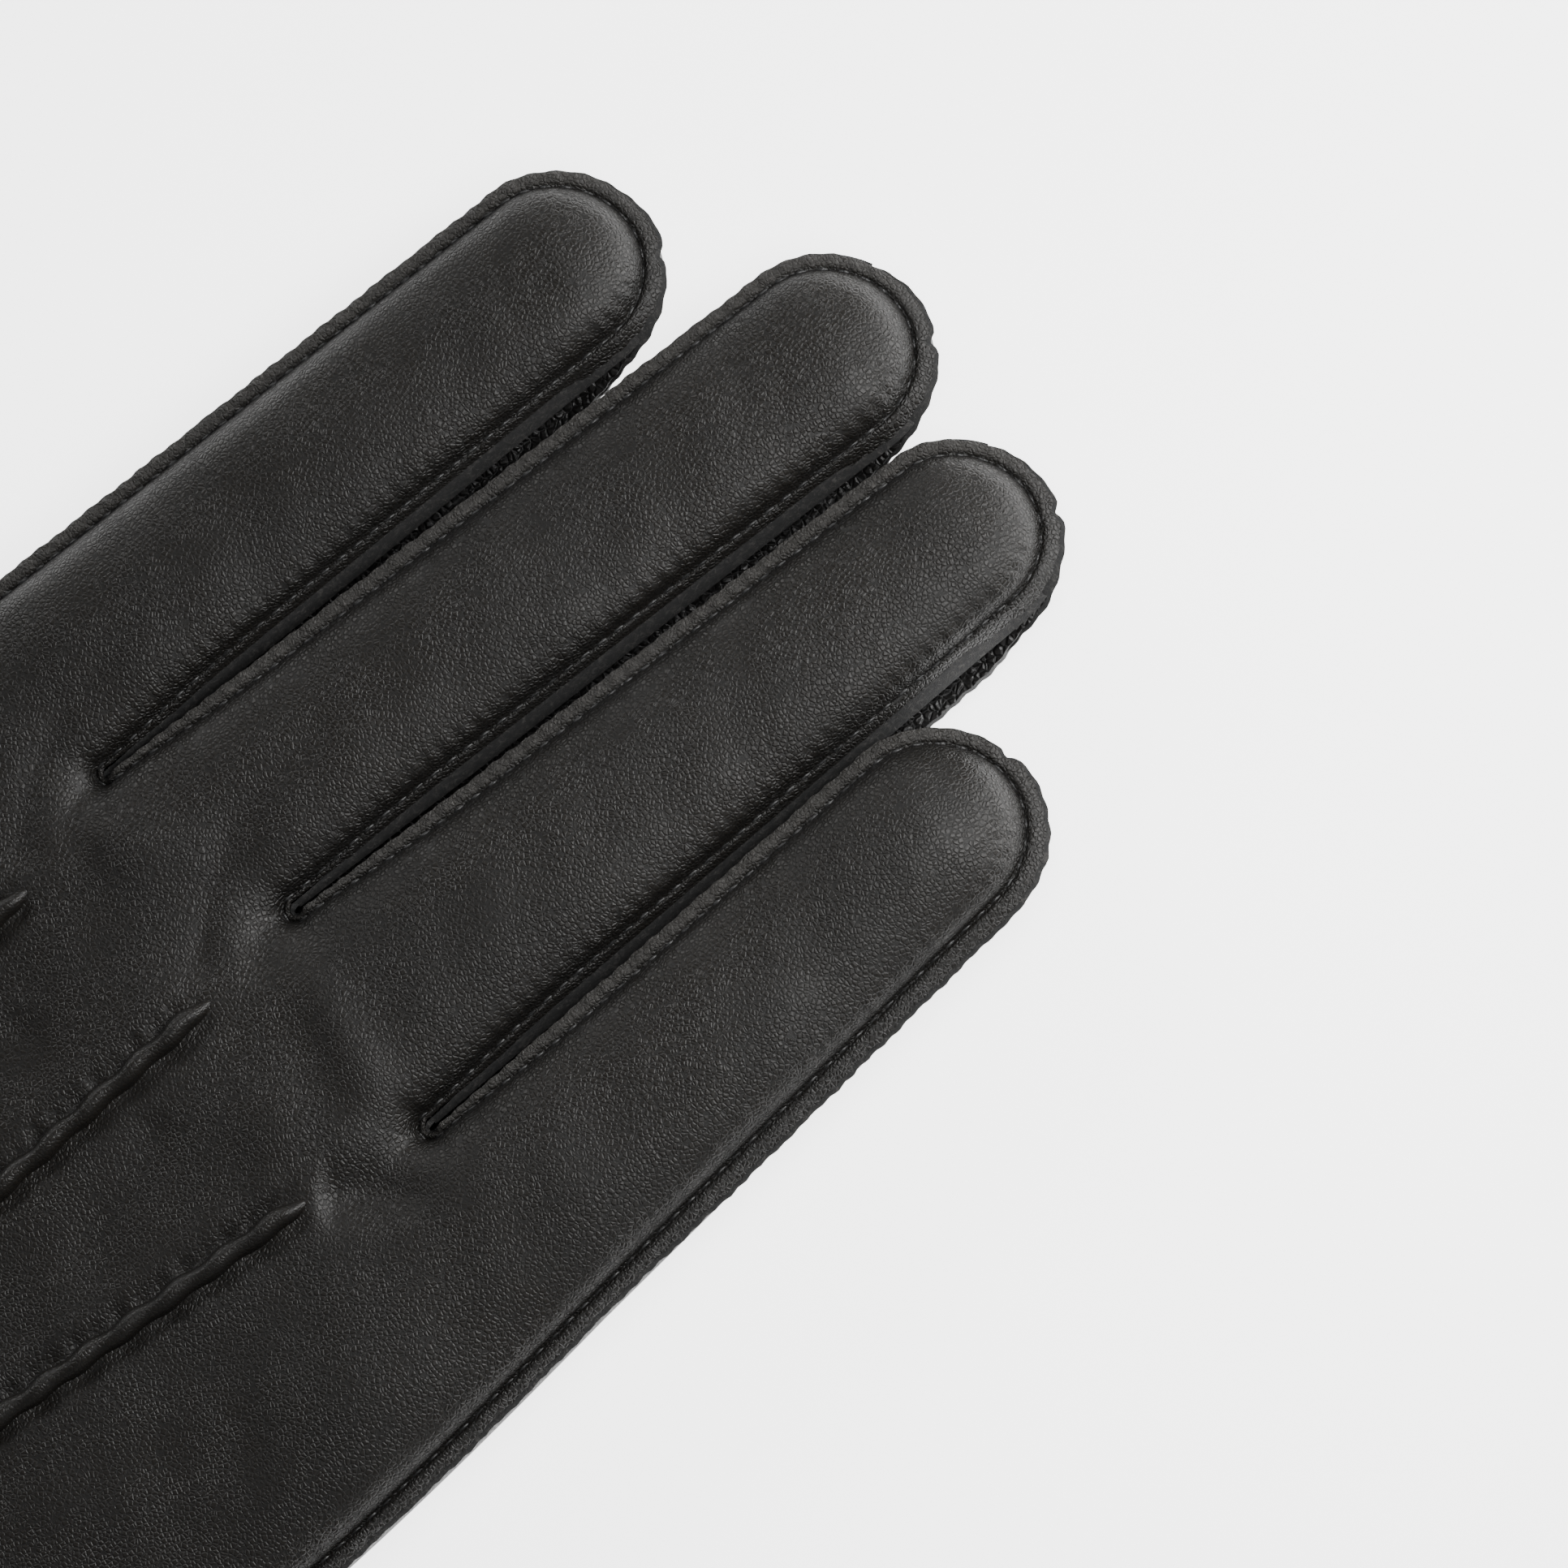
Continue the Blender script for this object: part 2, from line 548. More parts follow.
class Skin:
    """One layer of leather: several grids, welded where they meet, with a real thickness and cut edges."""

    def __init__(self, thickness: float, cloth: bool = False) -> None:
        """Starts with no grids; thickness is in mm. Cloth has soft edges that join its sides all round."""
        self.thickness = thickness
        self.cloth = cloth
        self.points: list[Array] = []
        self.faces: list[Array] = []
        self.labels: list[Array] = []
        self.seam: list[Array] = []
        self.raw: list[Array] = []
        self.count = 0

    def add(self, grid: Array, label: Array | int, seam: Array, turn: bool = False,
            raw: Array | float = 0.0) -> None:
        """Adds a grid.

        Args:
            grid: Places, rows by columns by three.
            label: The part that each face belongs to, one number or rows - 1 by columns - 1.
            seam: How near a seam each point is, from 0 to 1.
            turn: Whether the faces go round the other way.
            raw: How scuffed each point is, as a seam's edge that stands out, from 0 to 1.
        """
        rows, cols = grid.shape[:2]
        self.points.append(grid.reshape(-1, 3))
        self.faces.append(grid_faces(rows, cols, turn) + self.count)
        self.labels.append(np.broadcast_to(label, (rows - 1, cols - 1)).reshape(-1))
        self.seam.append(np.broadcast_to(seam, (rows, cols)).reshape(-1))
        self.raw.append(np.broadcast_to(raw, (rows, cols)).reshape(-1))
        self.count += rows * cols

    def add_many(self, grids: Array, labels: Array) -> None:
        """Adds many small grids of one size: grids by rows by columns by three, and a label for each."""
        count, rows, cols = grids.shape[:3]
        first = self.count + np.arange(count)[:, None, None] * rows * cols
        self.points.append(grids.reshape(-1, 3))
        self.faces.append((grid_faces(rows, cols, False)[None] + first).reshape(-1, 4))
        self.labels.append(np.repeat(labels, (rows - 1) * (cols - 1)))
        self.seam.append(np.zeros(count * rows * cols))
        self.raw.append(np.zeros(count * rows * cols))
        self.count += count * rows * cols

    def finish(self) -> None:
        """Welds points closer than a micrometre, drops folded faces and works out normals from face areas."""
        points = np.concatenate(self.points)
        faces = np.concatenate(self.faces)
        labels = np.concatenate(self.labels)
        seam = np.concatenate(self.seam)
        _, first, inverse = np.unique(np.round(points, 3), axis=0, return_index=True, return_inverse=True)
        inverse = inverse.reshape(-1)
        self.p, self.s, self.w = points[first], seam[first], np.concatenate(self.raw)[first]
        quads = inverse[faces]
        fixed = quads.copy()
        for k in range(3):
            twin = fixed[:, k] == fixed[:, k + 1]
            fixed[twin, k:3] = fixed[twin, k + 1:4]
        fixed[quads[:, 0] == quads[:, 3], 3] = fixed[quads[:, 0] == quads[:, 3], 2]
        keep = (fixed[:, 0] != fixed[:, 1]) & (fixed[:, 1] != fixed[:, 2]) & (fixed[:, 0] != fixed[:, 2])
        self.f, self.l = fixed[keep], labels[keep]
        a, b, c, d = (self.p[self.f[:, k]] for k in range(4))
        area = np.cross(c - a, d - b)
        area = np.where((self.f[:, 2] == self.f[:, 3])[:, None], np.cross(b - a, c - a), area)
        total = np.zeros_like(self.p)
        for k in range(4):
            np.add.at(total, self.f[:, k], area)
        self.n = unit(total)

    def edges(self) -> tuple[Array, Array, Array]:
        """The open border: its edges' start points, end points and labels, in the faces' direction."""
        f = self.f
        nxt = np.roll(f, -1, axis=1)
        start, end = f.ravel(), nxt.ravel()
        label = np.repeat(self.l, 4)
        real = start != end
        start, end, label = start[real], end[real], label[real]
        size = len(self.p)
        key, back = start * size + end, end * size + start
        open_edge = ~np.isin(key, back)
        return start[open_edge], end[open_edge], label[open_edge]

    def solid(self, label: int, name: str, material: bpy.types.Material) -> bpy.types.Object:
        """Makes a piece of one label's faces alone, for shapes that are closed already."""
        used, local = np.unique(self.f[self.l == label], return_inverse=True)
        return put_mesh(name, self.p[used], local.reshape(-1, 4), self.n[used], None, [material],
                        {"seam": np.zeros(len(used))})

    def part(self, label: int, name: str, top: bpy.types.Material, under: bpy.types.Material,
             cut: bpy.types.Material) -> bpy.types.Object:
        """Makes the piece that holds one label's faces, its flesh side and its cut edge.

        Args:
            label: Which faces.
            name: The piece's name.
            top: Material of the grain side.
            under: Material of the flesh side.
            cut: Material of the cut edge.

        Returns:
            The piece.
        """
        faces = self.f[self.l == label]
        used, local = np.unique(faces, return_inverse=True)
        local = local.reshape(-1, 4)
        outer, normal = self.p[used], self.n[used]
        inner = outer - normal * self.thickness
        n = len(used)
        turned = local[:, [3, 2, 1, 0]] + n
        tri = local[:, 2] == local[:, 3]
        turned[tri] = local[tri][:, [2, 1, 0, 0]] + n
        if self.cloth:
            border = local.ravel(), np.roll(local, -1, axis=1).ravel()
            real = border[0] != border[1]
            a, b = border[0][real], border[1][real]
            open_edge = ~np.isin(a * n + b, b * n + a)
            a, b = a[open_edge], b[open_edge]
            loop = np.stack([b, a, a + n, b + n], axis=1)
            slots = np.concatenate([np.zeros(len(local)), np.ones(len(turned)), np.full(len(loop), 2)])
            return put_mesh(name, np.concatenate([outer, inner]), np.concatenate([local, turned, loop]),
                            np.concatenate([normal, -normal]), slots, [top, under, cut],
                            {"seam": np.zeros(2 * n), "raw": np.zeros(2 * n)})
        start, end, of = self.edges()
        start, end = start[of == label], end[of == label]
        points, normals, blocks = [outer, inner], [normal, -normal], [local, turned]
        slots = [np.zeros(len(local)), np.ones(len(turned))]
        near = [self.s[used], self.s[used]]
        worn = [self.w[used], self.w[used]]
        if len(start):
            rim, where = np.unique(np.concatenate([start, end]), return_inverse=True)
            a, b = where[:len(start)], where[len(start):]
            top_p, top_n = self.p[rim], self.n[rim]
            low_p = top_p - top_n * self.thickness
            out = np.zeros_like(top_p)
            side = np.cross(top_p[b] - top_p[a], top_n[a])
            np.add.at(out, a, side)
            np.add.at(out, b, side)
            out = unit(out)
            k = len(rim)
            first = 2 * n
            blocks.append(np.stack([b + first, a + first, a + first + k, b + first + k], axis=1))
            slots.append(np.full(len(start), 2))
            points += [top_p, low_p]
            normals += [out, out]
            near += [np.ones(k), np.ones(k)]
            worn += [np.ones(k), np.ones(k)]
        fields = {"seam": np.concatenate(near), "raw": np.concatenate(worn)}
        return put_mesh(name, np.concatenate(points), np.concatenate(blocks), np.concatenate(normals),
                        np.concatenate(slots), [top, under, cut], fields)


# ------------------------------------------------------------------ the glove's plan


class Side(Enum):
    """What meets the back leather along one side of a digit."""

    PALM = "palm leather"
    STRIP = "side strip"


@dataclass
class Digit:
    """One finger or the thumb in plan, measured along its own centre line from its root.

    Widths and lengths are in mm. reach is the distance to the first crease. start holds where the sides
    begin next to each crotch. notch is the angle of the meeting point of the tip's edges, in degrees
    clockwise from the index side. split is where the lower part's leather is told apart from the tip's, and
    what lies before rooted belongs to the hand.
    """

    name: str
    root_width: float
    tip_width: float
    length: float
    reach: float
    start: tuple[float, float]
    notch: float
    sides: tuple[Side, Side]
    pinch: tuple[bool, bool] = (True, True)
    seam: float = 1.5
    split: float = 20.0
    rooted: float = -50.0
    samples: int = 0
    origin: Array = field(default_factory=lambda: np.zeros(2))
    along: Array = field(default_factory=lambda: np.array([0.0, 1.0]))
    across: Array = field(default_factory=lambda: np.array([1.0, 0.0]))
    knuckle: float = 0.0
    joint: float = 0.0

    def __post_init__(self) -> None:
        """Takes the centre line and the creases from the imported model's joints."""
        moved = (f"{self.name}_base", f"{self.name}_tip")
        first, second = (j for j in frame["joints"] if j["child"] in moved)
        axis = np.array(first["axis"][:2], float)
        self.across = -axis / np.linalg.norm(axis)
        self.along = np.array([-self.across[1], self.across[0]])
        place = np.array(first["pos_m"][:2]) / MM
        self.origin = place - self.along * self.reach
        self.knuckle = self.reach
        self.joint = float((np.array(second["pos_m"][:2]) / MM - self.origin) @ self.along)
        self.bend_z = first["pos_m"][2] / MM
        self.straight = self.length - self.tip_width / 2
        self.samples = int(round((self.straight - min(self.start)) / 0.5))

    def place(self, t: Array, s: Array) -> Array:
        """Glove positions of local across and along distances."""
        return self.origin + np.multiply.outer(t, self.across) + np.multiply.outer(s, self.along)

    def stitch(self, s: Array, side: int) -> Array:
        """Distance from the centre line to the stitching; it swings out at the crotch as the seam narrows.

        Args:
            s: Distances along the digit.
            side: 0 for the index side, 1 for the little-finger side.

        Returns:
            Half widths in mm.
        """
        half = (self.root_width + (self.tip_width - self.root_width) * s / self.straight) / 2 - self.seam
        return half + self.squeeze(s, side)

    def seam_width(self, s: Array, side: int) -> Array:
        """Width of the raw seam edge outside the stitching."""
        return self.seam - self.squeeze(s, side)

    def squeeze(self, s: Array, side: int) -> Array:
        """How much narrower the raw edge is near a crotch: a bell shape from the side's start."""
        return 0.75 * self.pinch[side] * np.exp(-((s - self.start[side]) / 10.0) ** 2)


@dataclass
class Outline:
    """The stitch line in plan, as one run of points with what the panels need to know at each.

    xy is the place, out the outward direction, run the distance along the seam, edge the width of the raw
    edge, wrap is 1 where palm leather meets the back and 0 where a side strip does, tip is 1 at a
    fingertip, right is 1 on sides that face the little finger, slit is 1 at a crotch, part is the piece
    each stretch belongs to.
    """

    xy: Array
    edge: Array
    wrap: Array
    tip: Array
    right: Array
    slit: Array
    notch: Array
    part: Array
    centre: Array

    def __post_init__(self) -> None:
        """Works out the outward direction and the distance along the seam."""
        step = np.gradient(self.xy, axis=0)
        tangent = unit(step)
        self.out = np.stack([-tangent[:, 1], tangent[:, 0]], axis=1)
        self.run = np.concatenate([[0.0], np.cumsum(np.linalg.norm(np.diff(self.xy, axis=0), axis=1))])

    def between(self, low: int, high: int) -> "Outline":
        """The stretch from one point number up to and including another."""
        cut = slice(low, high + 1)
        piece = Outline(self.xy[cut], self.edge[cut], self.wrap[cut], self.tip[cut], self.right[cut],
                        self.slit[cut], self.notch[cut], self.part[cut], self.centre[cut])
        piece.out, piece.run = self.out[cut], self.run[cut]
        return piece


# Points round a fingertip, round a crotch and down a side of the hand
ARC = 56
TURN = 18
SIDE_ROWS = 240


class Part(Enum):
    """The bodies' numbers as face labels."""

    HAND = 0
    INDEX_BASE = 1
    INDEX_TIP = 2
    MIDDLE_BASE = 3
    MIDDLE_TIP = 4
    RING_BASE = 5
    RING_TIP = 6
    LITTLE_BASE = 7
    LITTLE_TIP = 8
    THUMB_BASE = 9
    THUMB_TIP = 10
    THUMB_SOCKET = 11
    CROTCH = 20


class Plan:
    """The whole glove in plan: its digits, its side edges and the run of the seams."""

    cuff = -80.0

    def __init__(self) -> None:
        """Sets out the digits and joins their outlines with the crotches and the sides of the hand."""
        strip, palm = Side.STRIP, Side.PALM
        self.fingers = [
            Digit("index", 21.0, 19.6, 72.0, 10.0, (-0.3, -0.3), 118.0, (palm, strip), (False, True)),
            Digit("middle", 20.8, 19.8, 83.0, 10.0, (-4.3, 2.2), 118.0, (strip, strip)),
            Digit("ring", 23.4, 19.0, 80.5, 10.0, (1.2, -1.5), 112.0, (strip, strip)),
            Digit("little", 23.6, 20.2, 65.5, 10.0, (2.3, 2.0), 82.0, (strip, palm), (True, False)),
        ]
        self.thumb = Digit("thumb", 29.0, 24.0, 84.0, 42.0, (-25.0, 4.0), 90.0, (palm, palm), (False, False),
                           split=52.0, rooted=30.0)
        self.outline = self._hand_outline()

    # The side edges repeat the CAD's smooth bump over the wrist and its flare at the cuff.

    @staticmethod
    def _swell(y: Array, centre: float, span: float) -> Array:
        """A smooth bump: the squared cosine of the distance from its centre."""
        u = np.clip(np.abs(y - centre) / span, 0, 1)
        return np.cos(0.5 * math.pi * u) ** 2

    def little_side(self, y: Array) -> Array:
        """X of the hand's outer edge on the little-finger side."""
        return 43 + 6.3 * self._swell(y, 30, 80) + 2 * np.maximum(0, (-40 - y) / 40) ** 2

    def index_side(self, y: Array) -> Array:
        """X of the hand's outer edge on the index side."""
        return -(41 + 5.2 * self._swell(y, 48, 95) + 2 * np.maximum(0, (-40 - y) / 40) ** 2)

    def digit_run(self, d: Digit, base: int) -> dict[str, Array]:
        """One digit's stitch line: up its index side, round the tip and down its other side.

        Args:
            d: The digit.
            base: The label of its lower part; the tip's is one more.

        Returns:
            The fields of an Outline by name.
        """
        n = d.samples
        share = np.linspace(0, 1, n)
        middle = 0.5 * sum(d.start) + share * (d.straight - 0.5 * sum(d.start))
        between = 0.5 * (middle[1:] + middle[:-1])
        part = np.where(between < d.split, base, base + 1)
        part = np.where(between < d.rooted, Part.THUMB_SOCKET.value, part)
        centre = d.place(0 * middle, middle)
        runs = []
        for side in (0, 1):
            s = d.start[side] + share * (d.straight - d.start[side])
            sign = -1 if side == 0 else 1
            w = d.stitch(s, side)
            if side == 0:
                w = w + 0.1 * np.maximum(0, d.rooted - 14 - s)
            edge = d.seam_width(s, side)
            runs.append((d.place(sign * w, s), edge))
        angle = np.linspace(math.pi, 0, ARC + 1)[1:-1]
        radius = d.stitch(np.array(d.straight), 0), d.stitch(np.array(d.straight), 1)
        r = radius[0] + (radius[1] - radius[0]) * (1 - angle / math.pi)
        arc = d.place(r * np.cos(angle), d.straight + r * np.sin(angle))
        turn = np.concatenate([np.zeros(n), 180 - np.degrees(angle), np.full(n, 180.0)])
        xy = np.concatenate([runs[0][0], arc, runs[1][0][::-1]])
        run = np.concatenate([[0.0], np.cumsum(np.linalg.norm(np.diff(xy, axis=0), axis=1))])
        past = run - np.interp(d.notch, turn[n - 1:n + ARC], run[n - 1:n + ARC])
        side = [1.0 if s is Side.PALM else 0.0 for s in d.sides]
        wrap = np.maximum(np.where(past < 0, *side), 1 - smooth(np.abs(past), 0.5, 17.0))
        lee = smooth(turn, 60, 130) * np.concatenate([np.ones(n + ARC - 1), smooth(share[::-1], 0.0, 0.4)])
        return {
            "xy": xy,
            "edge": np.concatenate([runs[0][1], np.full(ARC - 1, d.seam), runs[1][1][::-1]]) + 0.3 * lee,
            "wrap": wrap,
            "tip": np.sin(np.radians(turn)) ** 2,
            "right": smooth(turn, 20, 130),
            "slit": np.zeros(len(turn)),
            "notch": np.exp(-((turn - d.notch) / 4.0) ** 2),
            "part": np.concatenate([part, np.full(ARC, base + 1), part[::-1], [base]]),
            "centre": np.concatenate([centre, np.repeat(d.place(0.0, d.straight)[None], ARC - 1, 0),
                                      centre[::-1]]),
        }

    def _hand_outline(self) -> Outline:
        """Joins side, four fingers, three crotches and side into one run, and notes where each begins."""
        seam = self.fingers[0].seam
        blocks: list[dict[str, Array]] = []
        self.spans: dict[str, tuple[int, int]] = {}
        at = 0

        def push(name: str, block: dict[str, Array]) -> None:
            """Adds a stretch that shares its first point with the last one."""
            nonlocal at
            first = 1 if blocks else 0
            for key in ("part", "centre") if block["tip"].any() else ("part",):
                if blocks:
                    blocks[-1][key][-1] = block[key][0]
            count = len(block["edge"]) - first
            self.spans[name] = (at - first, at - first + len(block["edge"]) - 1)
            blocks.append({k: v[first:] for k, v in block.items()})
            at += count

        def plain(xy: Array, edge: Array, wrap: Array | float, right: float, slit: Array | float
                  ) -> dict[str, Array]:
            """A stretch of the hand itself."""
            n = len(xy)
            full = lambda v: np.broadcast_to(np.asarray(v, float), (n,)).copy()
            return {"xy": xy, "edge": full(edge), "wrap": full(wrap), "tip": full(0), "right": full(right),
                    "slit": full(slit), "notch": full(0), "part": np.zeros(n, int), "centre": xy.copy()}

        runs = [self.digit_run(d, 1 + 2 * k) for k, d in enumerate(self.fingers)]
        top = runs[0]["xy"][0]
        y = self.cuff + (top[1] - self.cuff) * np.linspace(0, 1, SIDE_ROWS)
        x = self.index_side(y) + seam
        x = x + (top[0] - x[-1]) * smooth(y, 30, top[1])
        push("left", plain(np.stack([x, y], 1), seam, 1.0, 0.0, 0.0))
        for k, run in enumerate(runs):
            push(self.fingers[k].name, run)
            if k < 3:
                a, b = run["xy"][-1], runs[k + 1]["xy"][0]
                angle = np.linspace(math.pi, 2 * math.pi, TURN + 1)
                middle, half = (a + b) / 2, (b - a) / 2
                down = np.array([half[1], -half[0]])
                u = np.cos(angle)[:, None] * half + -np.sin(angle)[:, None] * down * 1.1
                push(f"crotch{k}", plain(middle + u, run["edge"][-1], 0.0, 0.5, np.sin(angle - math.pi)))
        low = runs[3]["xy"][-1]
        y = low[1] + (self.cuff - low[1]) * np.linspace(0, 1, SIDE_ROWS)
        x = self.little_side(y) - seam
        x = x + (low[0] - x[0]) * smooth(y, 30, low[1])
        push("right", plain(np.stack([x, y], 1), seam, 1.0, 1.0, 0.0))
        merged = {k: np.concatenate([b[k] for b in blocks]) for k in blocks[0]}
        return Outline(**merged)


# ------------------------------------------------------------------ heights


@dataclass
class Relief:
    """Heights of the leather as the glove lies, in mm above the surface it lies on."""

    crown: float = 12.3
    back_seam: float = 9.6
    palm_seam: float = 2.7
    leather: float = 0.7
    stitch: float = 2.0
    spread: float = 8.0
    creases: tuple = (
        # corners of the line, depth, half width, a fold with a sharp bottom (1) or a soft valley (0)
        ([(-0.6, 69.0), (-4.0, 71.3), (-8.0, 75.5), (-11.3, 80.5), (-12.9, 86.0), (-13.8, 95.0),
          (-13.6, 103.0)], 0.75, 1.1, 1.0),
        ([(-20.0, 62.0), (-24.0, 65.0), (-27.9, 69.1), (-31.0, 75.9), (-32.4, 84.0),
          (-32.8, 93.0)], 0.6, 1.2, 1.0),
        ([(20.9, 66.0), (23.8, 70.0), (26.5, 73.5), (30.0, 76.0)], 0.9, 2.4, 0.0),
        ([(21.8, 77.0), (22.6, 72.0), (22.0, 67.0)], 0.55, 1.8, 0.0),
        ([(-24.2, 73.0), (-21.5, 69.5), (-16.0, 67.0)], 0.45, 1.6, 0.0),
        ([(-3.3, 80.0), (-1.5, 76.0), (2.5, 73.0)], 0.35, 1.5, 0.0),
        ([(-14.5, 149.0), (-10.0, 146.5), (-6.5, 143.2)], 0.22, 0.7, 1.0),
        ([(-16.5, 146.0), (-11.5, 143.5), (-8.5, 141.0)], 0.12, 0.6, 1.0),
        ([(-37.5, 133.0), (-34.0, 131.8), (-30.0, 132.4)], 0.10, 1.2, 0.0),
        ([(5.0, 60.0), (9.0, 52.0), (10.5, 40.0)], 0.3, 2.2, 0.0),
        ([(-10.5, 56.0), (-9.0, 46.0), (-9.8, 34.0)], 0.3, 2.4, 0.0),
    )
    rises: tuple = (
        # x, y, height, half length across, half length along, turn in degrees
        (10.0, 77.5, 0.45, 9.0, 2.6, -6.0),
        (-17.5, 72.5, 0.55, 6.0, 4.0, 35.0),
        (12.5, 67.0, 0.4, 5.0, 4.5, 0.0),
        (34.0, 84.0, 0.3, 7.0, 9.0, 0.0),
        (-36.0, 79.0, 0.3, 7.0, 9.0, 0.0),
        (31.0, 128.0, 0.35, 5.5, 8.0, -4.0),
        (36.0, 60.0, 0.4, 7.0, 14.0, 10.0),
        (-36.0, 52.0, 0.3, 7.0, 16.0, 0.0),
    )

    points: tuple = (
        ((-19.7, 62.4), (-18.6, 40.0), (-17.0, -8.0)),
        ((-0.2, 69.5), (1.1, 39.1), (2.0, -8.0)),
        ((20.5, 65.1), (17.7, 25.4), (15.5, -8.0)),
    )

    def beside_points(self, x: Array, y: Array) -> Array:
        """Dips beside the sewn points: a puckered pit on the right of each, a smaller one on its left."""
        z = np.zeros(x.shape)
        for line in self.points:
            off, way = beside_line(x, y, line)
            ends = smooth(way, 0.0, 0.03) * (1 - smooth(way, 0.97, 1.0))
            run = 2 * math.pi * way * np.hypot(line[0][0] - line[-1][0], line[0][1] - line[-1][1])
            deep = 0.42 + 0.16 * np.sin(run / 2.5) + 0.10 * np.sin(run / 4.1 + 1)
            pit = deep * np.exp(-((off - 1.3) / 0.75) ** 2)
            dent = (0.22 + 0.12 * np.sin(run / 5.0)) * np.exp(-((off + 1.3) / 0.7) ** 2)
            swell = 0.16 * np.exp(-((off - 3.2) / 1.4) ** 2) + 0.12 * np.exp(-((off + 3.0) / 1.3) ** 2)
            z = z + ends * (swell - pit - dent)
        return z

    def relief(self, x: Array, y: Array) -> Array:
        """Folds, creases and soft swellings of the back, added to its plain crown.

        A crease is a bell-shaped valley along a line, or a sharp-bottomed one if it is a fold. A rise is a
        bell-shaped hump. Slow waves of two sizes are added to both.
        """
        z = 0.16 * ripple(x, y, 26, 3) + 0.05 * ripple(x, y, 9, 5) + self.beside_points(x, y)
        for line, depth, half, fold in self.creases:
            off, way = beside_line(x, y, line)
            ends = smooth(way, 0.0, 0.12) * (1 - smooth(way, 0.55, 1.0))
            bell = np.exp(-(off / half) ** 2)
            sharp = np.exp(-np.hypot(off, 0.35) / (2.4 * half))
            z = z - depth * ends * (bell + fold * (sharp - bell))
        for cx, cy, height, across, along, turn in self.rises:
            c, s = math.cos(math.radians(turn)), math.sin(math.radians(turn))
            u, v = (x - cx) * c + (y - cy) * s, -(x - cx) * s + (y - cy) * c
            z = z + height * np.exp(-(u / across) ** 2 - (v / along) ** 2)
        return z

    def pucker(self, run: Array) -> Array:
        """Rise between stitches and dip at each: minus the cosine of the distance over the stitch pitch."""
        pull = 0.8 + 0.35 * np.sin(run * 0.37) * np.sin(run * 0.113)
        return -np.cos(2 * math.pi * run / self.stitch) * pull

    def back_level(self, o: Outline) -> Array:
        """Height of the back's stitch groove along the seam; it sinks at the tips and the crotches."""
        return self.back_seam - 2.1 * o.tip - 0.5 * o.slit - 0.25 * o.wrap

    def edge_slope(self, o: Outline) -> Array:
        """Fall of the back's raw edge for each mm of its width: steep where it hangs over a side strip."""
        return 0.10 + 0.42 * o.right + 0.75 * o.right * (1 - o.wrap) * (1 - 0.75 * o.tip)

    def edge_reach(self, o: Outline, q: Array) -> Array:
        """Distances inside the stitching in plan: the hanging edge stands out less than its width."""
        hang = 1 - 0.38 * (o.right * (1 - o.wrap) * (1 - 0.5 * o.tip))[:, None]
        return np.where(q < 0, q * hang, q)

    def drop(self, q: Array, sharp: Array, broad: Array) -> Array:
        """How far the back lies below its crown at distance q inside a seam: a quick roll and a slow fall."""
        return sharp * np.exp(-np.maximum(q, 0) / 0.85) + broad * (1 - np.clip(q / self.spread, 0, 1)) ** 2

    def back_band(self, o: Outline, q: Array) -> Array:
        """Heights of the back leather beside the seam.

        Args:
            o: The seam.
            q: Distance inside the stitching for each point and column; below zero on the raw edge.

        Returns:
            Heights, one row for each seam point.
        """
        level = self.back_level(o)[:, None]
        total = self.crown - level
        broad = np.clip(total * 0.5, 0.9, 2.2)
        inside = self.crown - self.drop(q, total - broad, broad)
        xy = o.xy[:, None, :] - o.out[:, None, :] * q[..., None]
        inside = inside + self.relief(xy[..., 0], xy[..., 1]) * smooth(q, 0.0, 2.5)
        pucker = (0.07 + 0.07 * o.right)[:, None] * self.pucker(o.run)[:, None]
        inside = inside + pucker * np.exp(-((q - 0.75) / 0.75) ** 2)
        away = np.maximum(-q, 0)
        slope = self.edge_slope(o)[:, None]
        edge = level + 0.28 * (1 - np.exp(-away / 0.28)) - slope * away
        bumps = (0.13 - 0.10 * o.right)[:, None] * self.pucker(o.run)[:, None]
        edge = edge + bumps * np.exp(-((away - 0.7) / 0.6) ** 2)
        edge = edge - 0.10 * smooth(away, 1.2, 1.5)
        groove = (0.20 + 0.30 * o.right)[:, None] * np.exp(-(q / 0.28) ** 2)
        nick = 0.25 * o.notch[:, None] * smooth(away, 0.1, 1.0)
        return np.where(q > 0, inside, edge) - groove - nick

    def edge_height(self, o: Outline, away: Array) -> Array:
        """Height of the back's raw edge at a distance outside the stitching, without the puckers."""
        level = self.back_level(o)[:, None]
        slope = self.edge_slope(o)[:, None]
        notch = 0.25 * o.notch[:, None] * smooth(away, 0.1, 1.0)
        return level + 0.28 * (1 - np.exp(-away / 0.28)) - slope * away - notch


# Distances inside the stitching of the columns that run beside a seam, as shares of the raw edge and in mm
EDGE_SHARES = np.array([1.0, 0.9, 0.7, 0.5, 0.3, 0.12])
BAND_Q = np.array([0.0, 0.18, 0.4, 0.65, 0.95, 1.3, 1.75, 2.3, 3.0, 3.7, 4.5])


def edge_columns(o: Outline, relief: Relief) -> Array:
    """Distances inside the stitching for each seam point and column, with a wavy, nicked raw edge."""
    wave = 1 + 0.05 * relief.pucker(o.run) + 0.03 * np.sin(o.run * 0.9) - 0.35 * o.notch
    outside = -(o.edge * wave)[:, None] * EDGE_SHARES[None]
    return np.concatenate([outside, np.broadcast_to(BAND_Q, (len(o.run), len(BAND_Q)))], axis=1)


def nearness(q: Array) -> Array:
    """How near the stitching a point is, from 1 on it to 0 well inside."""
    return np.exp(-(np.maximum(q, 0) / 0.9) ** 2)


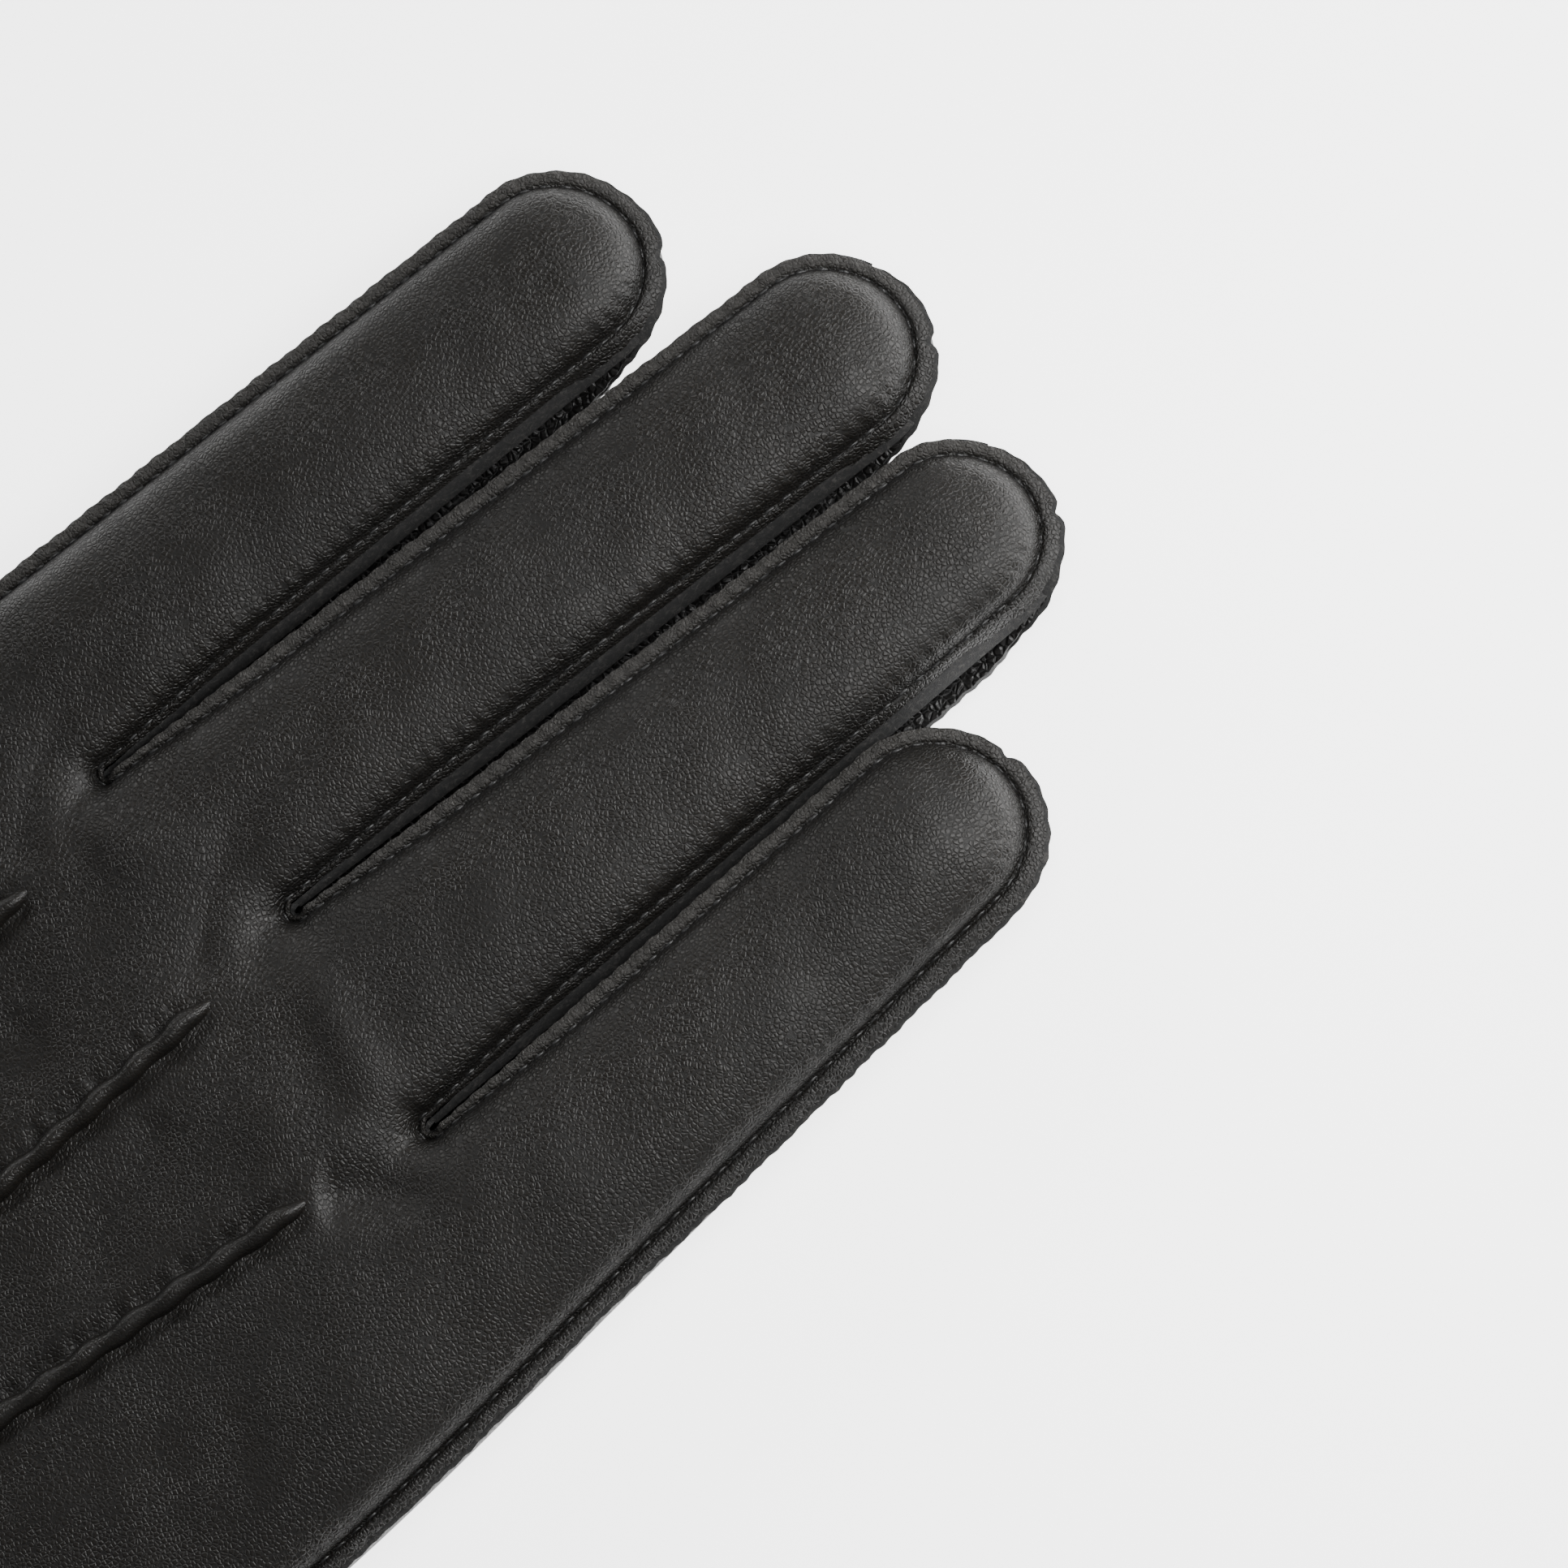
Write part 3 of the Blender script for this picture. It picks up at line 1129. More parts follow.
class Panel:
    """The back or the palm leather: a band beside the seam, a field in each finger and one in the hand."""

    field_columns = 9

    def __init__(self, plan: Plan, relief: Relief, facing_up: bool) -> None:
        """Keeps the plan and the heights; facing_up is True for the back."""
        self.plan = plan
        self.relief = relief
        self.up = facing_up
        self.skin = Skin(relief.leather)

    def band(self, o: Outline) -> tuple[Array, Array]:
        """The band beside the seam.

        Args:
            o: The seam.

        Returns:
            Places, rows by columns by three, and nearness to the stitching.
        """
        q = edge_columns(o, self.relief)
        if self.up:
            xy = o.xy[:, None, :] - o.out[:, None, :] * self.relief.edge_reach(o, q)[..., None]
            z = self.relief.back_band(o, q)
            return self.settle(np.concatenate([xy, z[..., None]], axis=2)), nearness(q)
        return self.settle(self.palm_band(o, q)), nearness(q)

    def settle(self, grid: Array) -> Array:
        """Moves points to where the leather lies in the end; the hand's are there already."""
        return grid

    def palm_shift(self, o: Outline) -> Array:
        """How far the palm's edge stands out past the back's: most on the sides facing the little finger."""
        return 1.25 * o.right * np.clip(o.tip * 2 + (o.part > 0) * 0.8, 0, 1) * (1 - o.wrap)

    def palm_band(self, o: Outline, q: Array) -> Array:
        """The palm's band: a low seam under a side strip, or leather wrapped up the side to the back's seam.

        Two profiles are mixed by the seam's wrap. Each gives a distance inside the stitching and a height
        for every column.

        Args:
            o: The seam.
            q: Distance inside the stitching for each point and column.

        Returns:
            Places, rows by columns by three.
        """
        r = self.relief
        away = np.maximum(-q, 0)
        wrap = o.wrap[:, None]
        low_q = q - self.palm_shift(o)[:, None] * (1 - smooth(q, 0.5, 4.5))
        sunk = r.palm_seam * (np.exp(-q / 1.0) * 0.45 + 0.55 * (1 - np.clip(q / 4.5, 0, 1)) ** 2)
        low_z = np.where(q > 0, sunk, r.palm_seam - 0.25 * (1 - np.exp(-away / 0.28)) + 0.15 * away)
        pucker = 0.08 * r.pucker(o.run)[:, None] * np.exp(-((away - 0.6) / 0.6) ** 2)
        low_z = low_z + 0.2 * np.exp(-(q / 0.22) ** 2) - pucker
        high = r.back_level(o)[:, None] - 2 * r.leather - 0.08
        under = r.edge_height(o, away) - 2 * r.leather - 0.08
        u = np.clip(q / 4.5, 0, 1)
        shape_u = [0, 0.04, 0.10, 0.18, 0.28, 0.40, 0.52, 0.66, 0.82, 1.0]
        shape_q = [0, -0.30, -0.75, -1.05, -1.12, -0.85, -0.15, 1.1, 2.7, 4.5]
        shape_z = [1.0, 0.90, 0.76, 0.60, 0.43, 0.27, 0.14, 0.055, 0.012, 0.0]
        high_q = np.where(q > 0, np.interp(u, shape_u, shape_q), q)
        high_z = np.where(q > 0, np.interp(u, shape_u, shape_z) * high, under)
        mixed_q = high_q * wrap + low_q * (1 - wrap)
        mixed_z = high_z * wrap + low_z * (1 - wrap)
        xy = o.xy[:, None, :] - o.out[:, None, :] * mixed_q[..., None]
        return np.concatenate([xy, mixed_z[..., None]], axis=2)

    def inner_height(self, x: Array, y: Array, drop: Array) -> Array:
        """Height inside the band: crown less drop plus folds for the back, close to flat for the palm."""
        if self.up:
            return self.relief.crown - drop + self.relief.relief(x, y)
        pleat = 1 + np.sin(x * 2.1 + 0.6 * np.sin(x * 0.7 + y * 0.1))
        gather = np.exp(-((y + 42) / 9.0) ** 2) * 0.35 * pleat
        soft = 0.10 * (1 + ripple(x, y, 22, 11)) + 0.03 * (1 + ripple(x, y, 7, 12))
        return soft + gather

    def digit_drop(self, o: Outline, q: Array) -> Array:
        """The back's drop below its crown at distance q inside each point of a digit's seam."""
        total = (self.relief.crown - self.relief.back_level(o))[:, None]
        broad = np.clip(total * 0.5, 0.9, 2.2)
        return self.relief.drop(q, total - broad, broad)

    def digit_field(self, o: Outline, samples: int, turn: bool) -> Array:
        """The inside of a finger: straight rows from side to side, and a fan that fills the tip.

        Args:
            o: The finger's seam.
            samples: Number of points along each side.
            turn: Whether faces go round the other way.

        Returns:
            The lowest row of points.
        """
        c = self.field_columns
        band, _ = self.band(o)
        inner = band[:, -1]
        share = np.linspace(0, 1, c + 1)
        reach = np.linalg.norm(o.xy - o.centre, axis=1)[:, None]
        q = BAND_Q[-1] + share[None] * np.maximum(reach - BAND_Q[-1], 0)
        xy = inner[:, None, :2] + share[None, :, None] * (o.centre - inner[:, :2])[:, None]
        if self.up:
            z = self.inner_height(xy[..., 0], xy[..., 1], self.digit_drop(o, q))
        else:
            z = self.inner_height(xy[..., 0], xy[..., 1], 0 * q) * smooth(share, 0, 0.6)[None]
        grid = self.settle(np.concatenate([xy, z[..., None]], axis=2))
        grid[:, 0] = inner
        left, right = grid[:samples], grid[-samples:][::-1]
        middle = 0.5 * (left[:, -1] + right[:, -1])
        rows = np.concatenate([left[:, :-1], middle[:, None], right[:, :-1][:, ::-1]], axis=1)
        fan = grid[samples - 1:len(grid) - samples + 1].copy()
        fan[:, -1] = middle[-1]
        self.skin.add(rows, o.part[:samples - 1][:, None], 0.0, turn)
        self.skin.add(fan, o.part[samples], 0.0, turn)
        return rows[0]

    def hand_field(self, base_rows: list[Array], turn: bool) -> None:
        """The inside of the hand: columns run from the finger roots and crotches down to the cuff.

        Each column keeps its place between the two sides as the rows go down, and evens out its spacing;
        the shape of the top edge dies away with the cube of the distance left to go.

        Args:
            base_rows: The lowest row of points in each finger.
            turn: Whether faces go round the other way.
        """
        plan, spans = self.plan, self.plan.spans
        band, _ = self.band(plan.outline)
        inner = band[:, -1]
        top = [base_rows[0]]
        for k in range(3):
            a, b = spans[f"crotch{k}"]
            top += [inner[a + 1:b], base_rows[k + 1]]
        top = np.concatenate(top)
        left = inner[spans["left"][0]:spans["left"][1] + 1][::-1]
        right = inner[spans["right"][0]:spans["right"][1] + 1]
        rows = np.linspace(0, 1, SIDE_ROWS)[:, None]
        g_top = (top[:, 0] - top[0, 0]) / (top[-1, 0] - top[0, 0])
        steps = np.maximum(np.diff(g_top), 0.3 / len(top))
        g_even = np.concatenate([[0.0], np.cumsum(steps)]) / steps.sum()
        g_low = 0.35 * g_even + 0.65 * np.linspace(0, 1, len(top))
        g_high = g_even + (g_top - g_even) * np.exp(-rows / 0.02)
        g = g_high + (g_low - g_high) * (1 - np.exp(-rows / 0.10))
        x = left[:, :1] + g * (right[:, :1] - left[:, :1])
        edge = left[:, 1:2] + g * (right[:, 1:2] - left[:, 1:2])
        y = edge + (top[:, 1] - edge[0]) * (1 - rows) ** 3
        if self.up:
            drop = self.hand_drop(x, y)
            z = self.inner_height(x, y, drop)
        else:
            z = self.inner_height(x, y, 0 * x) * smooth(np.minimum(x - left[:, :1], right[:, :1] - x), 0, 6)
            z = z * smooth(np.arange(SIDE_ROWS), 0, 20)[:, None]
        fade_down = np.exp(-np.arange(SIDE_ROWS) / 7.0)[:, None]
        z = z + (top[:, 2] - z[0]) * fade_down
        for column, edge_z in ((0, left[:, 2]), (-1, right[:, 2])):
            reach = np.abs(x - x[:, column][:, None])
            z = z + (edge_z - z[:, column])[:, None] * np.exp(-reach / 3.0)
        grid = np.stack([x, y, z], axis=2)
        grid[0], grid[:, 0], grid[:, -1] = top, left, right
        self.skin.add(grid, Part.HAND.value, 0.0, not turn)
        keep = np.flatnonzero(BAND_Q >= 1.3)[:-1] + len(EDGE_SHARES)
        sides = [band[slice(spans[k][0], spans[k][1] + 1)][:, keep] for k in ("left", "right")]
        self.shell = np.concatenate([sides[0][::-1], grid, sides[1][:, ::-1]], axis=1)

    def hand_drop(self, x: Array, y: Array) -> Array:
        """The back's drop below its crown in the hand: the greatest of its sides' and its crotches'."""
        plan, r = self.plan, self.relief
        left_q = x - (plan.index_side(y) + 1.5)
        right_q = plan.little_side(y) - 1.5 - x
        total = r.crown - r.back_seam + 0.25
        broad = np.clip(total * 0.5, 0.9, 2.2)
        drop = np.maximum(r.drop(left_q, total - broad, broad), r.drop(right_q, total - broad, broad))
        for k in range(3):
            a, b = plan.spans[f"crotch{k}"]
            ends = plan.outline.xy[[a, b]]
            centre, radius = ends.mean(axis=0), np.linalg.norm(ends[1] - ends[0]) / 2
            q = np.hypot(x - centre[0], np.minimum(y - centre[1], 0)) - radius
            drop = np.maximum(drop, r.drop(q, total - broad, broad * 0.9))
        return drop

    def build(self) -> None:
        """Lays every grid of the panel and welds them."""
        plan, o = self.plan, self.plan.outline
        band, near = self.band(o)
        turn = not self.up
        scuffed = (1 - 0.85 * o.right)[:, None] * smooth(-edge_columns(o, self.relief), 0.05, 0.35)
        self.skin.add(band, o.part[:-1, None], near, turn, scuffed)
        base_rows = []
        for d in plan.fingers:
            low, high = plan.spans[d.name]
            base_rows.append(self.digit_field(o.between(low, high), d.samples, turn))
        self.hand_field(base_rows, turn)
        self.skin.finish()


# ------------------------------------------------------------------ how pieces follow the bodies


@dataclass(frozen=True)
class Stretch:
    """One stretch of the glove: its face label, its name, and the bodies and places that it bends between."""

    label: int
    name: str
    parent: str
    child: str = ""
    start: tuple[float, float, float] = (0.0, 0.0, 0.0)
    end: tuple[float, float, float] = (0.0, 0.0, 0.0)

    def follow(self, piece: bpy.types.Object) -> None:
        """Lets a piece ride on this stretch's body, or bend between its two bodies."""
        if self.child:
            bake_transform(piece)
        else:
            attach(piece, self.parent)


def hand_stretch(label: int, name: str) -> Stretch:
    """A stretch that belongs to the hand alone."""
    return Stretch(label, name, "hand")


def digit_stretches(d: Digit, base: int) -> list[Stretch]:
    """The lower part and the end part of a digit, each bending across its own crease.

    Args:
        d: The digit.
        base: The label of its lower part.

    Returns:
        Two stretches.
    """
    def point(s: float) -> tuple[float, float, float]:
        """A point on the centre line at the creases' height, in metres."""
        xy = d.place(0.0, s) * MM
        return (float(xy[0]), float(xy[1]), d.bend_z * MM)

    rise = min(8.5, d.knuckle - max(max(d.start), 0.0) - 0.3)
    fall = min(10.0, d.joint - d.split - 0.5)
    lower, upper = f"{d.name}_base", f"{d.name}_tip"
    return [
        Stretch(base, lower, "hand", lower, point(d.knuckle - rise), point(d.knuckle + rise)),
        Stretch(base + 1, upper, lower, upper, point(d.joint - fall), point(d.joint + fall)),
    ]


@dataclass
class Workbench:
    """What every sub-assembly needs: the plan, the heights, the finishes and the stretches."""

    plan: Plan
    relief: Relief
    finishes: Finishes

    def __post_init__(self) -> None:
        """Works out the stretches of all digits."""
        self.finger_stretches = [stretch for k, finger in enumerate(self.plan.fingers)
                                 for stretch in digit_stretches(finger, 1 + 2 * k)]
        self.thumb_stretches = digit_stretches(self.plan.thumb, Part.THUMB_BASE.value)

    def finish_piece(self, piece: bpy.types.Object, stretch: Stretch, slot: str, nodes: list[str]) -> None:
        """Makes a piece follow its stretch, names its slot and CAD nodes, and reports it."""
        stretch.follow(piece)
        present = [n for n in nodes if n in frame["nodes"]]
        if present:
            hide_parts(*present)
        log.info("%s: %d faces, follows %s", piece.name, len(piece.data.polygons), stretch.name)


# ------------------------------------------------------------------ sub-assemblies


@dataclass
class HandLeather:
    """The back panel and the palm panel of the hand and the four fingers."""

    bench: Workbench

    def dress(self, panel: Panel, title: str, cad: str, whole: str, top: bpy.types.Material) -> None:
        """Makes one panel's pieces.

        Args:
            panel: The panel, already welded.
            title: First words of the pieces' names.
            cad: The ending of the digits' CAD names.
            whole: The CAD name of the hand's part.
            top: The grain side's finish.
        """
        bench, f = self.bench, self.bench.finishes
        for stretch in [hand_stretch(Part.HAND.value, "hand"), *bench.finger_stretches]:
            node = whole if stretch.label == Part.HAND.value else f"{stretch.name}_{cad}"
            piece = panel.skin.part(stretch.label, f"{title}_{stretch.name}", top, f.flesh, f.edge)
            bench.finish_piece(piece, stretch, f"{title}", [node])

    def build(self) -> tuple[Panel, Panel]:
        """Builds both panels and their pieces; returns the panels, whose surfaces later work follows."""
        back = Panel(self.bench.plan, self.bench.relief, True)
        palm = Panel(self.bench.plan, self.bench.relief, False)
        finishes = self.bench.finishes
        for panel, title, cad, whole, top in ((back, "back_leather", "back", "back_panel", finishes.back),
                                              (palm, "palm_leather", "palm", "palm_panel", finishes.palm)):
            panel.build()
            self.dress(panel, title, cad, whole, top)
        return back, palm


@dataclass
class SideStrips:
    """The strips between the fingers, each from one fingertip down to the crotch and up to the next tip."""

    bench: Workbench
    wall_columns: int = 11
    sink: float = 1.15
    least_gap: float = 0.25
    clearance: float = 0.08

    def strip(self, o: Outline, palm_band: Array) -> Array:
        """One strip's grain side.

        From the back's raw edge in to the stitching, down a wall that bows in between the two seams, and
        out again on the palm's raw edge. The bow is the sine of the share of the way down, times the sink.

        Args:
            o: The seam between the two fingertips.
            palm_band: The palm's band beside the same seam.

        Returns:
            Places, points by columns by three.
        """
        r = self.bench.relief
        shares = np.array([1.0, 0.85, 0.55, 0.25])
        away = o.edge[:, None] * shares[None]
        lift = 2 * r.leather + self.clearance
        top_z = r.edge_height(o, away) - lift
        top_xy = o.xy[:, None] - o.out[:, None] * r.edge_reach(o, -away)[..., None]
        top = np.concatenate([top_xy, top_z[..., None]], axis=2)
        seam_low = palm_band[:, len(EDGE_SHARES)].copy()
        high = r.back_level(o) - lift
        low = np.minimum(seam_low[:, 2] + lift, high - self.least_gap)
        u = np.linspace(0, 1, self.wall_columns)[None]
        run = o.run[:, None]
        crumple = 0.12 * np.sin(run * 1.7 + 5 * u) * np.sin(run * 0.43) * np.sin(math.pi * u)
        bow = np.minimum(self.sink, 0.4 * (high - low))[:, None] * np.sin(math.pi * u) ** 0.8 + crumple
        flat = o.xy[:, None] * (1 - u[..., None]) + seam_low[:, None, :2] * u[..., None]
        wall_xy = flat - o.out[:, None] * bow[..., None]
        wall_z = high[:, None] * (1 - u) + low[:, None] * u
        wall = np.concatenate([wall_xy, wall_z[..., None]], axis=2)
        outside = palm_band[:, :len(EDGE_SHARES)][:, ::-1][:, 1:].copy()
        outside[..., 2] = np.minimum(outside[..., 2] + lift, high[:, None] - self.least_gap)
        return np.concatenate([top, wall, outside], axis=1)

    def build(self, palm: Panel) -> None:
        """Builds the three strips, cut into the parts that follow the fingers and the crotch pieces."""
        bench, plan, f = self.bench, self.bench.plan, self.bench.finishes
        whole = plan.outline
        band, _ = palm.band(whole)
        level = bench.relief.back_level(whole)
        room = level - 4 * bench.relief.leather - band[:, len(EDGE_SHARES), 2]
        skin = Skin(bench.relief.leather)
        for k in range(3):
            a, b = plan.spans[f"crotch{k}"]
            first = a - int(np.argmax(room[a::-1] < self.least_gap)) + 1
            last = b + int(np.argmax(room[b:] < self.least_gap)) - 1
            o = whole.between(first, last)
            grid = self.strip(o, band[first:last + 1])
            labels = np.where(o.part[:-1] == 0, Part.CROTCH.value + k, o.part[:-1])
            column = np.arange(grid.shape[1])
            near = np.exp(-np.abs(column - 4) / 1.5) + np.exp(-np.abs(column - 14) / 1.5)
            skin.add(grid, labels[:, None], np.clip(near, 0, 1)[None], True)
        skin.finish()
        names = [d.name for d in plan.fingers]
        for k in range(3):
            stretch = hand_stretch(Part.CROTCH.value + k, f"crotch_{names[k]}_{names[k + 1]}")
            piece = skin.part(stretch.label, f"strip_{stretch.name}", f.strip, f.flesh, f.edge)
            bench.finish_piece(piece, stretch, "strip_leather", [stretch.name])
        for stretch in bench.finger_stretches:
            piece = skin.part(stretch.label, f"strip_{stretch.name}", f.strip, f.flesh, f.edge)
            bench.finish_piece(piece, stretch, "strip_leather",
                               [f"{stretch.name}_fourchette", f"{stretch.name}_fourchettes"])


@dataclass
class SewnPoints:
    """Three raised welts on the back of the hand, each a tuck of leather sewn along its foot."""

    bench: Workbench
    step: float = 0.35
    half_width: float = 1.0
    height: float = 1.25
    wave: float = 5.0

    def welt(self, line: tuple, seed: int) -> Array:
        """One welt: a round section carried along its line, gently wavy, tapering at both ends.

        Args:
            line: The corners of its line, from the fingers to the wrist.
            seed: Which unevenness to use.

        Returns:
            Places, points by columns by three.
        """
        pts = np.array(line, float)
        span = np.linalg.norm(pts[-1] - pts[0])
        n = int(span / self.step)
        u = np.linspace(0, 1, n)
        knots = np.array([0.0, np.linalg.norm(pts[1] - pts[0]) / span, 1.0])
        bend = np.polyfit(knots, pts, 2)
        xy = bend[0] * u[:, None] ** 2 + bend[1] * u[:, None] + bend[2]
        tangent = unit(np.gradient(xy, axis=0))
        right = np.stack([-tangent[:, 1], tangent[:, 0]], axis=1)
        run = u * span
        phase = 2 * math.pi * run / self.wave + 0.8 * np.sin(run / 9 + seed)
        ends = np.sqrt(smooth(run, 0.0, 2.6) * smooth(span - run, 0.0, 3.0))
        xy = xy + right * (0.14 * np.sin(phase) * ends)[:, None]
        half = self.half_width * (0.35 + 0.65 * ends) * (1 + 0.07 * np.cos(phase + 0.7))
        tall = self.height * ends * (1 + 0.09 * np.cos(phase)) + 0.08
        turn = np.linspace(-0.12, 1.12, 13) * math.pi
        across = -np.cos(turn)[None] * half[:, None] * 1.05
        place = xy[:, None] + right[:, None] * across[..., None]
        foot = self.surface(xy[:, 0], xy[:, 1])[:, None]
        z = foot - 0.30 + np.sin(turn)[None] * tall[:, None] + 0.18 * np.clip(np.sin(turn), 0, 1)[None]
        return np.concatenate([place, z[..., None]], axis=2)

    def surface(self, x: Array, y: Array) -> Array:
        """Height of the back's surface away from the seams, without the dips beside the points."""
        r = self.bench.relief
        return r.crown + r.relief(x, y) - r.beside_points(x, y)

    def build(self) -> None:
        """Builds the three welts, each a piece of its own."""
        names = ("point_index_side", "point_centre", "point_little_side")
        for k, (name, line) in enumerate(zip(names, self.bench.relief.points)):
            skin = Skin(0.25)
            skin.add(self.welt(line, k), 0, 0.0, True)
            skin.finish()
            f = self.bench.finishes
            piece = skin.part(0, f"{name}_welt", f.welt, f.flesh, f.welt)
            self.bench.finish_piece(piece, hand_stretch(0, name), "back_leather", [name])


class ThumbPanel(Panel):
    """A leather panel of the thumb, which comes out from under the hand's edge."""

    def settle(self, grid: Array) -> Array:
        """Presses the thumb flatter near the hand and lifts it clear of the palm leather inside the hand."""
        outside = self.plan.index_side(grid[..., 1]) - grid[..., 0]
        grown = smooth(outside, 0.0, 15.0)
        lift = 1.0 - smooth(outside, -1.0, 1.5)
        z = lift + grid[..., 2] * (0.60 + 0.40 * grown)
        return np.concatenate([grid[..., :2], z[..., None]], axis=2)

    def build(self) -> None:
        """Lays the thumb's band and its inside, and welds them."""
        d = self.plan.thumb
        run = self.plan.digit_run(d, Part.THUMB_BASE.value)
        o = Outline(**run)
        band, near = self.band(o)
        turn = not self.up
        self.skin.add(band, o.part[:-1, None], near, turn)
        self.digit_field(o, d.samples, turn)
        self.skin.finish()
        self.outline = o


@dataclass
class ThumbLeather:
    """The thumb's back and palm leather: a socket under the hand's edge, a lower part and an end part."""

    bench: Workbench

    def build(self) -> tuple[ThumbPanel, ThumbPanel]:
        """Builds both sides of the thumb and their pieces; returns them for their stitching."""
        bench, f = self.bench, self.bench.finishes
        plain = Relief(creases=(), rises=(), points=())
        panels = ThumbPanel(bench.plan, plain, True), ThumbPanel(bench.plan, plain, False)
        titles = ("back_leather", "palm_leather")
        for panel, title, cad, top in zip(panels, titles, ("back", "palm"), (f.back, f.palm)):
            panel.build()
            for stretch in (hand_stretch(Part.THUMB_SOCKET.value, "thumb_socket"), *bench.thumb_stretches):
                piece = panel.skin.part(stretch.label, f"{title}_{stretch.name}", top, f.flesh, f.edge)
                bench.finish_piece(piece, stretch, title, [f"{stretch.name}_{cad}"])
        return panels


@dataclass
class Stitching:
    """The seam thread: one short stitch every two millimetres, sunk into the leather at both ends."""

    bench: Workbench
    length: float = 1.25
    radius: float = 0.17

    def beads(self, centre: Array, along: Array, up: Array) -> Array:
        """Stitches as small closed beads: six rings of six sides, whose ends dip.

        Args:
            centre: Middle of each stitch.
            along: Direction of each stitch.
            up: The leather's outward direction at each.

        Returns:
            Places, stitches by rings by sides by three.
        """
        u = np.array([-1, -0.85, -0.35, 0.35, 0.85, 1.0])
        fat = np.array([0, 0.75, 1, 1, 0.75, 0]) * self.radius
        angle = np.linspace(0, 2 * math.pi, 7)
        side = np.cross(along, up)
        ring = np.cos(angle)[:, None] * side[:, None] + np.sin(angle)[:, None] * up[:, None]
        forward = along[:, None] * (u * self.length / 2)[None, :, None]
        sunk = up[:, None] * (0.16 * u ** 2)[None, :, None]
        spine = centre[:, None] + forward - sunk
        return spine[:, :, None] + ring[:, None] * fat[None, :, None, None]

    def along_seam(self, o: Outline, line: Array, sign: float, keep: Array) -> tuple[Array, Array]:
        """Stitches along a seam.

        Args:
            o: The seam.
            line: The groove's places.
            sign: 1 where the leather faces up, -1 where it faces down.
            keep: Which seam points may have a stitch.

        Returns:
            The beads and the label of each.
        """
        pitch = self.bench.relief.stitch
        spots = np.arange(math.ceil(o.run[0] / pitch) + 1, math.floor(o.run[-1] / pitch)) * pitch
        index = np.clip(np.searchsorted(o.run, spots) - 1, 0, len(o.run) - 2)
        good = keep[index]
        spots, index = spots[good], index[good]
        at = np.stack([np.interp(spots, o.run, line[:, k]) for k in range(3)], axis=1)
        slope = unit(np.gradient(line, axis=0))
        along = unit(np.stack([np.interp(spots, o.run, slope[:, k]) for k in range(3)], axis=1))
        up = np.tile([0.0, 0.0, sign], (len(spots), 1))
        up = unit(up - along * np.sum(up * along, axis=1, keepdims=True))
        return self.beads(at + up * 0.10, along, up), o.part[index]

    def build(self, panels: tuple[Panel, Panel], thumb: tuple[ThumbPanel, ThumbPanel]) -> None:
        """Sews the back's and the palm's seams, cut into one piece of thread for each stretch and side."""
        bench, plan = self.bench, self.bench.plan
        groove = len(EDGE_SHARES)
        for pair, side, sign in ((0, "back", 1.0), (1, "palm", -1.0)):
            skin = Skin(0.0)
            whole = plan.outline
            line = panels[pair].band(whole)[0][:, groove]
            skin.add_many(*self.along_seam(whole, line, sign, np.ones(len(line), bool)))
            o = thumb[pair].outline
            line = thumb[pair].band(o)[0][:, groove]
            skin.add_many(*self.along_seam(o, line, sign, plan.index_side(line[:, 1]) - line[:, 0] > 2.0))
            skin.finish()
            stretches = [hand_stretch(Part.HAND.value, "hand"), *bench.finger_stretches,
                         hand_stretch(Part.THUMB_SOCKET.value, "thumb_socket"), *bench.thumb_stretches]
            for stretch in stretches:
                piece = skin.solid(stretch.label, f"thread_{side}_{stretch.name}", bench.finishes.thread)
                bench.finish_piece(piece, stretch, "back_leather", [])


